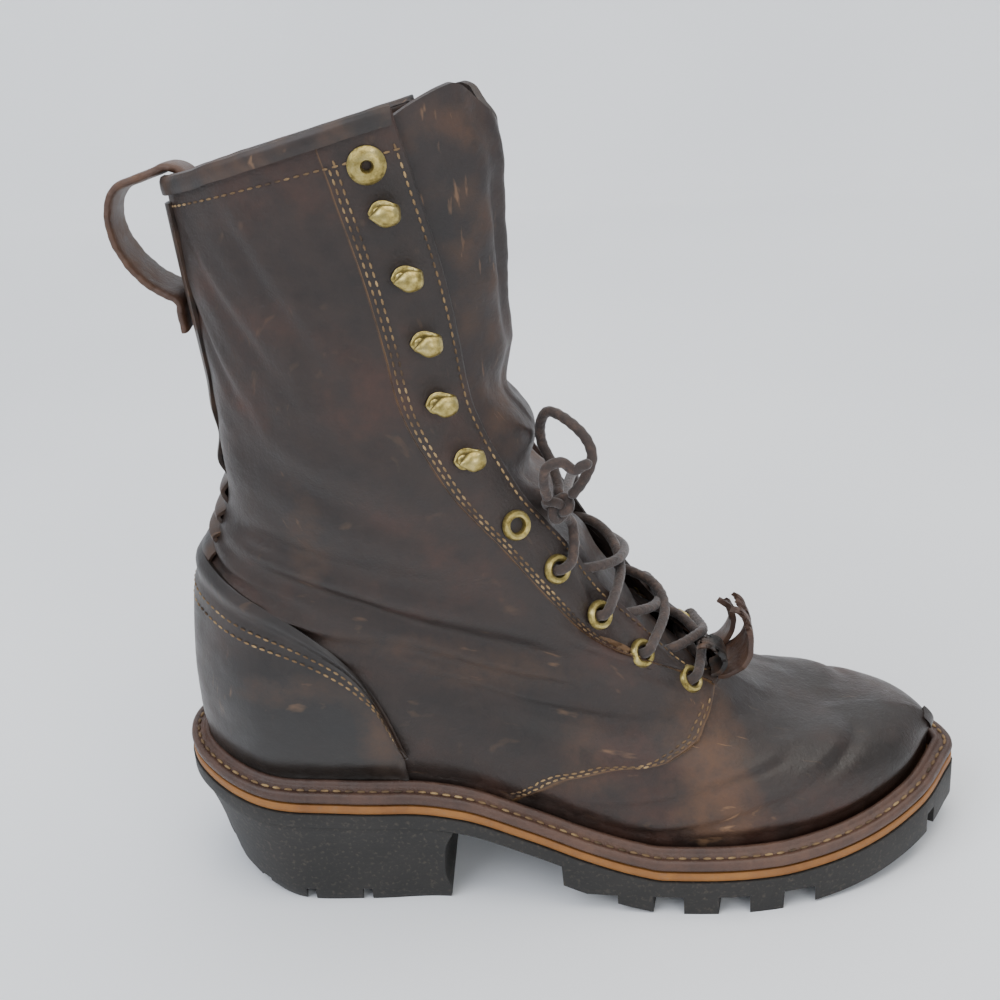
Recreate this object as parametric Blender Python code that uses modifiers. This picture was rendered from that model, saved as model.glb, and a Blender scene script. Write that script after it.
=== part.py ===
"""Logger boot for the right foot: lugged sole, high heel, laced leather upper with hooks.

The toe points to +X, the outer side of the foot is -Y, and the sole stands on Z = 0.
The last step moves the boot back by HEEL_REST, so that its origin is on the floor under the middle
of the heel. Everything is in metres. A place c on the upper or the sole's edge is 0 at the back of the heel,
-1 at the front by the outer side and +1 at the front by the inner side.
"""

import math
from collections import namedtuple
from functools import lru_cache

import bmesh
import bpy
import numpy as np
from mathutils import Matrix, Vector

MM = 0.001

# Sole
SOLE_LENGTH = 288 * MM
BALL_WIDTH = 103 * MM
HEEL_WIDTH = 82 * MM
HEEL_HEIGHT = 41 * MM
HEEL_CURL = 9 * MM
FORE_THICKNESS = 14 * MM
TOE_SPRING = 11 * MM
TOE_TURN = 7 * MM
PLATE_THICKNESS = 5.5 * MM
HEEL_PIECE_LENGTH = 101 * MM
HEEL_REST = 62 * MM
HEEL_BACK_TAPER = 14 * MM
HEEL_SIDE_TAPER = 4 * MM
HEEL_BREAST_INSET = 4 * MM
HEEL_GROOVE = 3.5 * MM
HEEL_LUG_DEPTH = 5.5 * MM
TREAD_START = 139 * MM
LUG_GROOVE = 11 * MM
LUG_DEPTH = 7.5 * MM
EDGE_LUG_REACH = 27 * MM
MIDSOLE_THICKNESS = 3.5 * MM
MIDSOLE_INSET = 0.8 * MM
WELT_THICKNESS = 4.5 * MM
WELT_WIDTH = 8.5 * MM
WELT_RIB_HEIGHT = 2 * MM
WELT_RIB_WIDTH = 3 * MM
INSOLE_THICKNESS = 4 * MM
CLEARANCE = 0.3 * MM
SOLE_STATIONS = 20

# Upper
WALL = 1.8 * MM
QUARTER_STEP = 1.2 * MM
FACING_STEP = 0.7 * MM
BINDING_STEP = 1.3 * MM
BINDING_HEIGHT = 4.5 * MM
TOE_BOX_HEIGHT = 26.5 * MM
SHAFT_HEIGHT = 214 * MM
COLLAR_RISE = 29 * MM
ANKLE_WIDTH = 80 * MM
COLLAR_WIDTH = 70 * MM
THROAT_WIDTH = 65 * MM
SHAFT_LEAN = 2 * MM
INSTEP_FULLNESS = 0.4
COLLAR_TILT = 14 * MM
VAMP_POINT = 0.46
FACING_WIDTH = 25 * MM

# Heel counter and back stay
COUNTER_HEIGHT = 88 * MM
COUNTER_LENGTH = 84 * MM
COUNTER_THICKNESS = 1.6 * MM
COUNTER_RIM = 1 * MM
COUNTER_FOOT = 0.062
STAY_FOOT = 0.47
BACK_STAY_WIDTH = 24 * MM
BACK_STAY_THICKNESS = 1.4 * MM

# Tongue, kiltie stub and pull loop
TONGUE_THICKNESS = 2.2 * MM
TONGUE_WIDTH = 104 * MM
TONGUE_TOP = 1.0
TONGUE_BULGE = 2 * MM
TONGUE_CURL = 4 * MM
KILTIE_WIDTH = 24 * MM
KILTIE_LENGTH = 16 * MM
KILTIE_LIFT = 12.5 * MM
KILTIE_THICKNESS = 2 * MM
LOOP_WIDTH = 19 * MM
LOOP_THICKNESS = 3 * MM
LOOP_REACH = 19.5 * MM
LOOP_HEIGHT = 40 * MM

# Metal and laces
EYELET_OUTER = 10.4 * MM
EYELET_HOLE = 5.2 * MM
TOP_EYELET_OUTER = 12 * MM
EYELET_BARREL = 0.6 * MM
EYELET_LIP = 1.4 * MM
EYELET_INSET = 12.5 * MM
EYELET_PAIRS = 5
EYELET_SIDES = 10
CUTTER_REACH = 16 * MM
CUTTER_SIDES = 8
EYELET_LOW = 0.480
EYELET_HIGH = 0.664
TOP_EYELET_LEVEL = 0.966
HOOK_PAIRS = 5
HOOK_LOW = 0.728
HOOK_HIGH = 0.930
HOOK_WIDTH = 7 * MM
HOOK_HEIGHT = 6 * MM
HOOK_REACH = 9.5 * MM
HOOK_SHEET = 1.2 * MM
LACE_DIAMETER = 3.6 * MM
LACE_PILE = 1.5 * MM
KNOT_SIZE = 10 * MM
KNOT_LEVEL = 0.672
KNOT_SIDE = -0.14

# Plan outline of the sole: place along the sole as a share of its length, then the outer and
# inner half widths as shares of half the heel width or half the ball width
OutlineRow = namedtuple("OutlineRow", "along outer inner")
HEEL_OUTLINE = [
    OutlineRow(0.025, 0.50, 0.50),
    OutlineRow(0.105, 0.93, 0.93),
    OutlineRow(0.220, 1.00, 1.00),
    OutlineRow(0.330, 0.99, 0.93),
]
BALL_OUTLINE = [
    OutlineRow(0.450, 0.86, 0.68),
    OutlineRow(0.580, 0.95, 0.80),
    OutlineRow(0.700, 0.98, 1.00),
    OutlineRow(0.800, 0.88, 1.02),
    OutlineRow(0.880, 0.69, 0.92),
    OutlineRow(0.945, 0.40, 0.72),
    OutlineRow(0.985, 0.06, 0.42),
]

# Side line of the sole: place along the sole, then the shares of the heel's height over the
# forefoot, of the curl at the back and of the toe spring
ProfileRow = namedtuple("ProfileRow", "along heel curl spring")
SOLE_PROFILE = [
    ProfileRow(0.00, 1.00, 1.00, 0.00),
    ProfileRow(0.07, 1.00, 0.50, 0.00),
    ProfileRow(0.16, 1.00, 0.12, 0.00),
    ProfileRow(0.28, 0.97, 0.00, 0.00),
    ProfileRow(0.36, 0.86, 0.00, 0.00),
    ProfileRow(0.44, 0.58, 0.00, 0.00),
    ProfileRow(0.52, 0.25, 0.00, 0.00),
    ProfileRow(0.58, 0.06, 0.00, 0.00),
    ProfileRow(0.61, 0.00, 0.00, 0.00),
    ProfileRow(0.75, 0.00, 0.00, 0.00),
    ProfileRow(0.81, 0.00, 0.00, 0.12),
    ProfileRow(0.87, 0.00, 0.00, 0.34),
    ProfileRow(0.94, 0.00, 0.00, 0.70),
    ProfileRow(1.00, 0.00, 0.00, 1.00),
]

# Levels of the upper, from the feather line to the collar. back and front are shares of the
# feather's length. back_rise is a share of the shaft's height, front_toe of the toe box height,
# front_rise of what is left up to the collar. follow keeps the sole's side line. heel and fore
# widen the plan outline, round turns it into an ellipse. gap is a share of the throat's width
# and lean of the shaft's lean.
Level = namedtuple(
    "Level",
    "place back front back_rise front_toe front_rise follow heel fore round gap lean",
)
LEVELS = [
    Level(0.00, 0.000, 1.000, 0.000, 0.00, 0.000, 1.00, 1.00, 1.00, 0.00, 0.00, 0.00),
    Level(0.05, 0.000, 1.000, 0.035, 0.28, 0.000, 1.00, 1.00, 1.00, 0.00, 0.00, 0.00),
    Level(0.13, -0.004, 1.006, 0.090, 0.50, 0.000, 0.95, 1.10, 1.08, 0.00, 0.00, 0.00),
    Level(0.21, -0.003, 0.992, 0.159, 0.72, 0.000, 0.85, 1.12, 1.06, 0.00, 0.00, 0.00),
    Level(0.29, 0.003, 0.940, 0.229, 0.90, 0.000, 0.62, 1.08, 0.96, 0.03, 0.00, 0.00),
    Level(0.36, 0.012, 0.868, 0.300, 0.97, 0.000, 0.42, 0.98, 0.80, 0.10, 0.00, 0.00),
    Level(0.42, 0.024, 0.785, 0.364, 1.00, 0.018, 0.22, 0.92, 0.73, 0.22, 0.00, 0.00),
    Level(0.46, 0.042, 0.718, 0.402, 1.00, 0.070, 0.10, 0.90, 0.72, 0.36, 0.00, 0.00),
    Level(0.49, 0.052, 0.682, 0.424, 1.00, 0.104, 0.06, 0.90, 0.73, 0.46, 0.42, 0.02),
    Level(0.54, 0.066, 0.622, 0.460, 1.00, 0.172, 0.00, 0.90, 0.75, 0.62, 0.48, 0.04),
    Level(0.62, 0.080, 0.536, 0.533, 1.00, 0.315, 0.00, 0.90, 0.80, 0.85, 0.62, 0.12),
    Level(0.70, 0.078, 0.484, 0.617, 1.00, 0.445, 0.00, 0.90, 0.80, 1.00, 0.80, 0.24),
    Level(0.80, 0.070, 0.449, 0.738, 1.00, 0.617, 0.00, 0.90, 0.80, 1.00, 0.82, 0.46),
    Level(0.90, 0.060, 0.456, 0.869, 1.00, 0.806, 0.00, 0.90, 0.80, 1.00, 0.91, 0.74),
    Level(1.00, 0.052, 0.461, 1.000, 1.00, 1.000, 0.00, 0.90, 0.80, 1.00, 1.00, 1.00),
]

# Lower edge and front edge of the quarter where it lies over the vamp: along the sole, then
# height over the seat as a share of the toe box height
EdgeRow = namedtuple("EdgeRow", "along rise")
QUARTER_EDGE = [
    EdgeRow(0.395, 0.00),
    EdgeRow(0.435, 0.42),
    EdgeRow(0.490, 0.98),
    EdgeRow(0.550, 1.32),
    EdgeRow(0.620, 1.52),
    EdgeRow(0.658, 1.66),
    EdgeRow(0.676, 1.90),
    EdgeRow(0.690, 2.25),
    EdgeRow(0.715, 2.75),
]

# Top edge of the heel counter: how far forward from the heel's back as a share of the
# counter's length, then its height as a share of the counter's height
CounterRow = namedtuple("CounterRow", "along rise")
COUNTER_EDGE = [
    CounterRow(0.00, 1.00),
    CounterRow(0.30, 0.93),
    CounterRow(0.62, 0.76),
    CounterRow(0.90, 0.50),
    CounterRow(1.00, 0.26),
    CounterRow(1.01, 0.02),
]

# Rows of the heel counter's faces, from its foot to its rim
COUNTER_ROWS = [0.0, 0.2, 0.45, 0.7, 0.9, 0.94, 1.0]

# Heel block: height share, then shares of the back taper, the side taper and the breast's inset
HeelRow = namedtuple("HeelRow", "rise back side breast")
HEEL_ROWS = [
    HeelRow(0.00, 1.00, 1.00, 1.00),
    HeelRow(0.12, 0.72, 0.72, 0.80),
    HeelRow(0.40, 0.52, 0.60, 1.30),
    HeelRow(0.72, 0.28, 0.46, 1.10),
    HeelRow(1.00, 0.05, 0.10, 0.20),
]

# Pull loop seen from the side, behind the back of the rim: shares of its reach and its height
LOOP_PATH = [(0.50, 0.02), (0.80, -0.04), (0.98, -0.20), (0.97, -0.44), (0.74, -0.68), (0.42, -0.85)]

# Kiltie stub seen from the side: shares of its length ahead of its root and of its lift
KILTIE_PATH = [(0.00, 0.06), (0.28, 0.08), (0.44, 0.26), (0.36, 0.55), (-0.08, 0.80), (-0.60, 1.00)]
KILTIE_TEETH = 4
KILTIE_TOOTH = 0.2

# Hook seen from the side: shares of its reach towards the throat and of its height, then its
# width as a share of the hook's
HookRow = namedtuple("HookRow", "reach rise width")
HOOK_PATH = [
    HookRow(-0.50, 0.0, 0.55),
    HookRow(-0.30, 0.0, 1.00),
    HookRow(0.10, 0.0, 1.00),
    HookRow(0.38, 0.10, 0.62),
    HookRow(0.50, 0.45, 0.52),
    HookRow(0.36, 0.84, 0.62),
    HookRow(0.08, 1.00, 1.00),
    HookRow(-0.22, 0.96, 0.95),
    HookRow(-0.38, 0.84, 0.50),
]

# Colours, roughness and metallic values
BLACK_RUBBER = ((0.012, 0.012, 0.012), 0.75, 0.0)
TAN_RUBBER = ((0.28, 0.13, 0.035), 0.6, 0.0)
WELT_LEATHER = ((0.055, 0.027, 0.015), 0.6, 0.0)
BROWN_LEATHER = ((0.030, 0.018, 0.012), 0.5, 0.0)
DARK_LEATHER = ((0.018, 0.014, 0.012), 0.45, 0.0)
TAN_LEATHER = ((0.10, 0.05, 0.022), 0.7, 0.0)
LACE_CORD = ((0.028, 0.017, 0.012), 0.8, 0.0)
WORN_BRASS = ((0.36, 0.29, 0.12), 0.4, 1.0)


def smooth_line(points, count):
    """Points of a smooth open line through the given ones, evenly spread over its length."""
    table = np.array(points, float)
    ends = np.vstack([2 * table[0] - table[1], table, 2 * table[-1] - table[-2]])
    dense = []
    for i in range(len(table) - 1):
        a, b, c, d = ends[i : i + 4]
        for t in np.linspace(0, 1, 24, endpoint=False):
            dense.append(
                0.5 * (2 * b + (c - a) * t + (2 * a - 5 * b + 4 * c - d) * t**2)
                + 0.5 * (3 * b - a - 3 * c + d) * t**3
            )
    dense.append(table[-1])
    dense = np.array(dense)
    run = np.concatenate([[0], np.cumsum(np.linalg.norm(np.diff(dense, axis=0), axis=1))])
    places = np.linspace(0, run[-1], count)
    return np.stack([np.interp(places, run, column) for column in dense.T], axis=1)


def smooth_value(rows, name, place):
    """A column of a table between its rows, with a slope that never overshoots."""
    x = [row[0] for row in rows]
    y = [getattr(row, name) for row in rows]
    place = min(max(place, x[0]), x[-1])
    i = min(max(int(np.searchsorted(x, place)) - 1, 0), len(x) - 2)
    steps = [(y[k + 1] - y[k]) / (x[k + 1] - x[k]) for k in range(len(x) - 1)]

    def slope(k):
        if k in (0, len(x) - 1):
            return steps[min(k, len(steps) - 1)]
        before, after = steps[k - 1], steps[k]
        return 0.0 if before * after <= 0 else 2 * before * after / (before + after)

    h = x[i + 1] - x[i]
    t = (place - x[i]) / h
    return (
        y[i] * (1 + 2 * t) * (1 - t) ** 2
        + h * slope(i) * t * (1 - t) ** 2
        + y[i + 1] * t**2 * (3 - 2 * t)
        + h * slope(i + 1) * t**2 * (t - 1)
    )


def ease(value):
    """0 below 0, 1 above 1, and a soft S between."""
    t = min(max(value, 0.0), 1.0)
    return t * t * (3 - 2 * t)


def outline_side(side):
    """One side of the sole's plan, from the back of the heel to the toe tip."""
    name = "inner" if side > 0 else "outer"
    points = [(0.0, 0.0)]
    for row in HEEL_OUTLINE:
        points.append((row.along * SOLE_LENGTH, side * getattr(row, name) * HEEL_WIDTH / 2))
    for row in BALL_OUTLINE:
        points.append((row.along * SOLE_LENGTH, side * getattr(row, name) * BALL_WIDTH / 2))
    points.append((SOLE_LENGTH, TOE_TURN))
    return points


def closed_outline():
    """The whole plan as a dense closed line with its place c, from the toe round the heel."""
    outer = outline_side(-1)
    inner = outline_side(1)
    ring = outer[::-1] + inner[1:]
    lap = ring[-4:-1] + ring + ring[1:4]
    dense = smooth_line(lap, 2400)
    apart = np.linalg.norm(dense - np.array(ring[0]), axis=1)
    first = int(np.argmin(apart[:1200]))
    last = 1200 + int(np.argmin(apart[1200:]))
    line = dense[first : last + 1]
    back = int(np.argmin(np.linalg.norm(line, axis=1)))
    place = np.concatenate(
        [np.linspace(-1, 0, back + 1), np.linspace(0, 1, len(line) - back)[1:]]
    )
    return line, place


OUTLINE, OUTLINE_PLACE = closed_outline()


@lru_cache(maxsize=None)
def plan(c, inset=0.0):
    """Plan point at place c, moved inwards by inset."""
    step = 0.004
    x, y = (np.interp(c, OUTLINE_PLACE, OUTLINE[:, k]) for k in (0, 1))
    if not inset:
        return float(x), float(y)
    before, after = c - step, c + step
    if before < -1:
        before += 2
    if after > 1:
        after -= 2
    ax, ay = (np.interp(after, OUTLINE_PLACE, OUTLINE[:, k]) for k in (0, 1))
    bx, by = (np.interp(before, OUTLINE_PLACE, OUTLINE[:, k]) for k in (0, 1))
    along = np.array([ax - bx, ay - by])
    along /= np.linalg.norm(along)
    return float(x + along[1] * inset), float(y - along[0] * inset)


@lru_cache(maxsize=None)
def side_line(side, inset):
    """The dense edge line of one side, moved inwards, as heights over x."""
    places = np.linspace(0, side, 500)
    return np.array([plan(float(c), inset) for c in places])


@lru_cache(maxsize=None)
def sole_line(x):
    """Height of the outsole's top at a place along the sole."""
    place = x / SOLE_LENGTH
    heel, curl, spring = (
        smooth_value(SOLE_PROFILE, name, place) for name in ("heel", "curl", "spring")
    )
    rise = (HEEL_HEIGHT - FORE_THICKNESS) * heel
    return FORE_THICKNESS + rise + HEEL_CURL * curl + TOE_SPRING * spring


def seat_line(x):
    """Height of the midsole's top, which the upper and the welt stand on."""
    return sole_line(x) + CLEARANCE + MIDSOLE_THICKNESS


@lru_cache(maxsize=None)
def seat_stations():
    """The stations of the layers with the seat's height at each."""
    stations = layer_stations(0.0)
    return stations, [seat_line(at) for at in stations]


def seat_chord(x):
    """The seat's height on the straight stretches between the stations of the layers."""
    return float(np.interp(x, *seat_stations()))


FEATHER_INSET = WELT_WIDTH + QUARTER_STEP + CLEARANCE


@lru_cache(maxsize=None)
def level_row(place):
    """The table of levels read at a place between its rows."""
    return {name: smooth_value(LEVELS, name, place) for name in Level._fields[1:]}


@lru_cache(maxsize=None)
def closed_point(place, c):
    """Point on the upper's skin at a level, before the throat is cut out of it."""
    row = level_row(place)
    back_foot = plan(0.0, FEATHER_INSET)
    front_foot = plan(1.0, FEATHER_INSET)
    length = front_foot[0] - back_foot[0]
    x, y = plan(c, FEATHER_INSET)
    share = (x - back_foot[0]) / length
    middle = front_foot[1] * ease((share - 0.55) / 0.45)
    wide = row["heel"] + (row["fore"] - row["heel"]) * ease((share - 0.25) / 0.40)
    angle = math.pi * abs(c)
    rounded = (1 - math.cos(angle)) / 2
    turned = share + (rounded - share) * row["round"]
    half = (ANKLE_WIDTH + (COLLAR_WIDTH - ANKLE_WIDTH) * ease((place - 0.7) / 0.3)) / 2
    side = 1.0 if c > 0 else -1.0
    y_foot = middle * (1 - row["round"]) + (y - middle) * wide
    full = 1 - INSTEP_FULLNESS * ease((0.78 - place) / 0.14)
    y_shaft = side * half * max(math.sin(angle), 0.0) ** full
    back = back_foot[0] + row["back"] * length
    front = back_foot[0] + row["front"] * length
    px = back + (front - back) * turned
    py = y_foot + (y_shaft - y_foot) * row["round"]
    seat_back, seat_front = seat_line(back_foot[0]), seat_line(front_foot[0])
    back_z = seat_back + row["back_rise"] * SHAFT_HEIGHT
    left = seat_back + SHAFT_HEIGHT + COLLAR_RISE - seat_front - TOE_BOX_HEIGHT
    front_z = seat_front + row["front_toe"] * TOE_BOX_HEIGHT + row["front_rise"] * left
    straight = seat_back + (seat_front - seat_back) * share
    wave = seat_line(back_foot[0] + share * length) - straight
    pz = back_z + (front_z - back_z) * turned + row["follow"] * wave + CLEARANCE
    lean = SHAFT_LEAN * row["lean"]
    tilt = COLLAR_TILT * row["lean"] * py / COLLAR_WIDTH
    return px, py + lean, pz - tilt


def closed_level(place, c):
    """The skin's point as a vector."""
    return Vector(closed_point(round(float(place), 6), round(float(c), 6)))


def closed_normal(place, c):
    """Outward direction of the skin."""
    step = 0.012
    low_c, high_c = max(c - step, -1.0), min(c + step, 1.0)
    low_p, high_p = max(place - step, 0.0), min(place + step, 1.0)
    around = closed_level(place, high_c) - closed_level(place, low_c)
    upwards = closed_level(high_p, c) - closed_level(low_p, c)
    if abs(c) > 1 - step:
        around = Vector((0, -1, 0)) if place < 0.99 else around
    normal = around.cross(upwards)
    return normal.normalized() * -1


def skin(place, c, lift=0.0):
    """Point over the skin by a lift along its outward direction. The lowest stay on the seat."""
    point = closed_level(place, c) + closed_normal(place, c) * lift
    if place < 0.01:
        point.z = seat_chord(point.x) + CLEARANCE * 2
    return point


def throat_place(place):
    """How far round a level its front edge lies: 1 where the level is closed."""
    if place <= VAMP_POINT:
        return 1.0
    gap = smooth_value(LEVELS, "gap", place) * THROAT_WIDTH / 2
    for c in np.linspace(1.0, 0.5, 250):
        if (closed_level(place, c) - closed_level(place, -c)).length / 2 >= gap:
            return float(c)
    return 0.5


THROAT_PLACES = np.concatenate([[VAMP_POINT], np.linspace(VAMP_POINT + 0.01, 1, 40)])
THROAT_EDGE = np.array([throat_place(p) for p in THROAT_PLACES])


def throat_edge(place):
    """Place c of the throat's edge at a level."""
    return float(np.interp(place, THROAT_PLACES, THROAT_EDGE))


def material(name, finish):
    """A Principled material from a colour, a roughness and a metallic value."""
    colour, roughness, metallic = finish
    made = bpy.data.materials.get(name) or bpy.data.materials.new(name)
    made.use_nodes = True
    shader = made.node_tree.nodes["Principled BSDF"]
    shader.inputs["Base Color"].default_value = (*colour, 1)
    shader.inputs["Roughness"].default_value = roughness
    shader.inputs["Metallic"].default_value = metallic
    return made


def place_object(name, mesh, finish, folder):
    """Puts a mesh into the scene as a named piece with its material."""
    piece = bpy.data.objects.new(name, mesh)
    folder.objects.link(piece)
    mesh.materials.clear()
    mesh.materials.append(material(name.rstrip("0123456789_") + "_finish", finish))
    return piece


def mesh_from(bm, name):
    """Closes a bmesh into a mesh with its faces pointing out."""
    bmesh.ops.recalc_face_normals(bm, faces=bm.faces)
    mesh = bpy.data.meshes.new(name)
    bm.to_mesh(mesh)
    bm.free()
    mesh.shade_smooth()
    mesh.set_sharp_from_angle(angle=math.radians(40))
    return mesh


def loft(name, rings, around=False):
    """A skin over closed rings of points, capped at both ends or led round to its start."""
    bm = bmesh.new()
    rows = [[bm.verts.new(p) for p in ring] for ring in rings]
    count = len(rings[0])
    follow = rows[1:] + rows[:1] if around else rows[1:]
    for low, high in zip(rows, follow):
        for i in range(count):
            j = (i + 1) % count
            bm.faces.new((low[i], low[j], high[j], high[i]))
    if not around:
        bm.faces.new(rows[0])
        bm.faces.new(rows[-1])
    return mesh_from(bm, name)


def slab(name, inner, outer, joined_rows=0):
    """A closed wall between two grids of points. The first joined rows close on themselves."""
    bm = bmesh.new()
    skins = []
    for grid in (inner, outer):
        rows = []
        for r, line in enumerate(grid):
            row = [bm.verts.new(p) for p in line[:-1]]
            row.append(row[0] if r < joined_rows else bm.verts.new(line[-1]))
            rows.append(row)
        for low, high in zip(rows, rows[1:]):
            for i in range(len(low) - 1):
                bm.faces.new((low[i], low[i + 1], high[i + 1], high[i]))
        skins.append(rows)
    edges = [(rows[0], rows[-1]) for rows in skins]
    for end in (0, 1):
        low, high = edges[0][end], edges[1][end]
        for i in range(len(low) - 1):
            bm.faces.new((low[i], low[i + 1], high[i + 1], high[i]))
    first = max(joined_rows - 1, 0)
    for column in (0, -1):
        for r in range(first, len(inner) - 1):
            a, b = skins[0][r][column], skins[0][r + 1][column]
            c, d = skins[1][r + 1][column], skins[1][r][column]
            bm.faces.new((a, b, c, d))
    return mesh_from(bm, name)


def layer_stations(inset):
    """Places along the sole, shared by all its layers, closer together at heel and toe."""
    even = np.linspace(0, 1, SOLE_STATIONS)
    spread = (1 - np.cos(math.pi * even)) / 2
    places = (0.6 * spread + 0.4 * even) * SOLE_LENGTH
    low, high = inset + 0.5 * MM, SOLE_LENGTH - inset - 0.5 * MM
    return [low] + [float(x) for x in places if low + MM < x < high - MM] + [high]


def around_places(inset):
    """Places c right round an inset outline, where it passes the stations of the layers."""
    both = []
    for side in (-1, 1):
        line = side_line(side, inset)
        along = np.linspace(0, 1, len(line))
        row = [float(np.interp(x, line[:, 0], along)) for x in layer_stations(inset)[1:-1]]
        both.append([side * c for c in [0.0] + row + [1.0]])
    return both[0][:0:-1] + both[1]


def layer_sides(inset):
    """The outer and the inner edge of a layer as functions of the place along the sole."""
    lines = [side_line(side, inset) for side in (-1, 1)]
    return [lambda x, line=line: float(np.interp(x, line[:, 0], line[:, 1])) for line in lines]


def sole_layer(name, inset, low, high, finish, folder):
    """A layer of the sole: its plan between a lower and an upper side line."""
    outer, inner = layer_sides(inset)
    rings = []
    for x in layer_stations(inset):
        rings.append(
            [
                (x, outer(x), low(x)),
                (x, inner(x), low(x)),
                (x, inner(x), high(x)),
                (x, outer(x), high(x)),
            ]
        )
    return place_object(name, loft(name, rings), finish, folder)


def box_cutter(name, centre, size, turn, folder):
    """A box that a groove is cut with, shown as a wire."""
    bm = bmesh.new()
    bmesh.ops.create_cube(bm, size=1.0, matrix=Matrix.Diagonal((*size, 1)))
    bmesh.ops.rotate(bm, verts=bm.verts, matrix=Matrix.Rotation(turn, 3, "Z"))
    bmesh.ops.translate(bm, verts=bm.verts, vec=centre)
    return add_cutter(name, bm, folder)


def rod_cutter(name, centre, axis, radius, length, sides, folder):
    """A rod that a hole is cut with, along an axis."""
    bm = bmesh.new()
    bmesh.ops.create_cone(
        bm, cap_ends=True, segments=sides, radius1=radius, radius2=radius, depth=length
    )
    turn = Vector((0, 0, 1)).rotation_difference(axis).to_matrix()
    bmesh.ops.rotate(bm, verts=bm.verts, matrix=turn)
    bmesh.ops.translate(bm, verts=bm.verts, vec=centre)
    return add_cutter(name, bm, folder)


def add_cutter(name, bm, folder):
    mesh = bpy.data.meshes.new(name)
    bm.to_mesh(mesh)
    bm.free()
    cutter = bpy.data.objects.new(name, mesh)
    folder.objects.link(cutter)
    cutter.hide_render = True
    cutter.display_type = "WIRE"
    return cutter


def cut_with(piece, folder):
    """Cuts every object of a collection out of a piece."""
    cut = piece.modifiers.new("Cuts", "BOOLEAN")
    cut.operation = "DIFFERENCE"
    cut.operand_type = "COLLECTION"
    cut.collection = folder
    cut.solver = "EXACT"


def tread_line(x):
    """Underside of the outsole: the plate alone under heel and shank, lugs under the forefoot."""
    if x < TREAD_START:
        return sole_line(x) - PLATE_THICKNESS
    return sole_line(x) - FORE_THICKNESS


def make_outsole(folder, cutters):
    """The rubber plate with its forefoot lugs, parted by grooves from both edges."""
    outer, inner = layer_sides(0.0)
    rings = []
    for x in layer_stations(0.0) + [TREAD_START]:
        lows = [tread_line(x)]
        if x == TREAD_START:
            lows = [sole_line(x) - PLATE_THICKNESS, sole_line(x) - FORE_THICKNESS]
        for k, low in enumerate(lows):
            along = x + k * MM
            high = sole_line(along)
            rings.append(
                [
                    (along, outer(x), low),
                    (along, inner(x), low),
                    (along, inner(x), high),
                    (along, outer(x), high),
                ]
            )
    rings.sort(key=lambda ring: ring[0][0])
    outsole = place_object("outsole", loft("outsole", rings), BLACK_RUBBER, folder)
    first = TREAD_START + LUG_GROOVE * 1.45
    pitch = LUG_GROOVE * 2.15
    half = HEEL_HEIGHT / 2
    for side, edge in ((-1, outer), (1, inner)):
        for i in range(4):
            x = first + i * pitch
            centre = (x, edge(x) - side * (EDGE_LUG_REACH / 2 - 3 * MM), LUG_DEPTH - half)
            size = (LUG_GROOVE, EDGE_LUG_REACH + 6 * MM, 2 * half)
            box_cutter(f"groove_{side + 1}_{i}", centre, size, side * 0.16, cutters)
        x, y = plan(side * 0.925)
        size = (EDGE_LUG_REACH * 1.2, LUG_GROOVE * 0.5, 2 * half)
        centre = (x, y, tread_line(x) + LUG_DEPTH - half)
        box_cutter(f"toe_groove_{side + 1}", centre, size, side * 0.75, cutters)
    for i in range(4):
        x = first + (i + 0.5) * pitch
        size = (LUG_GROOVE * 0.8, EDGE_LUG_REACH, 2 * half)
        box_cutter(f"middle_groove_{i}", (x, 2 * MM, LUG_DEPTH - half), size, 0.0, cutters)
    cut_with(outsole, cutters)
    return outsole


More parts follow.
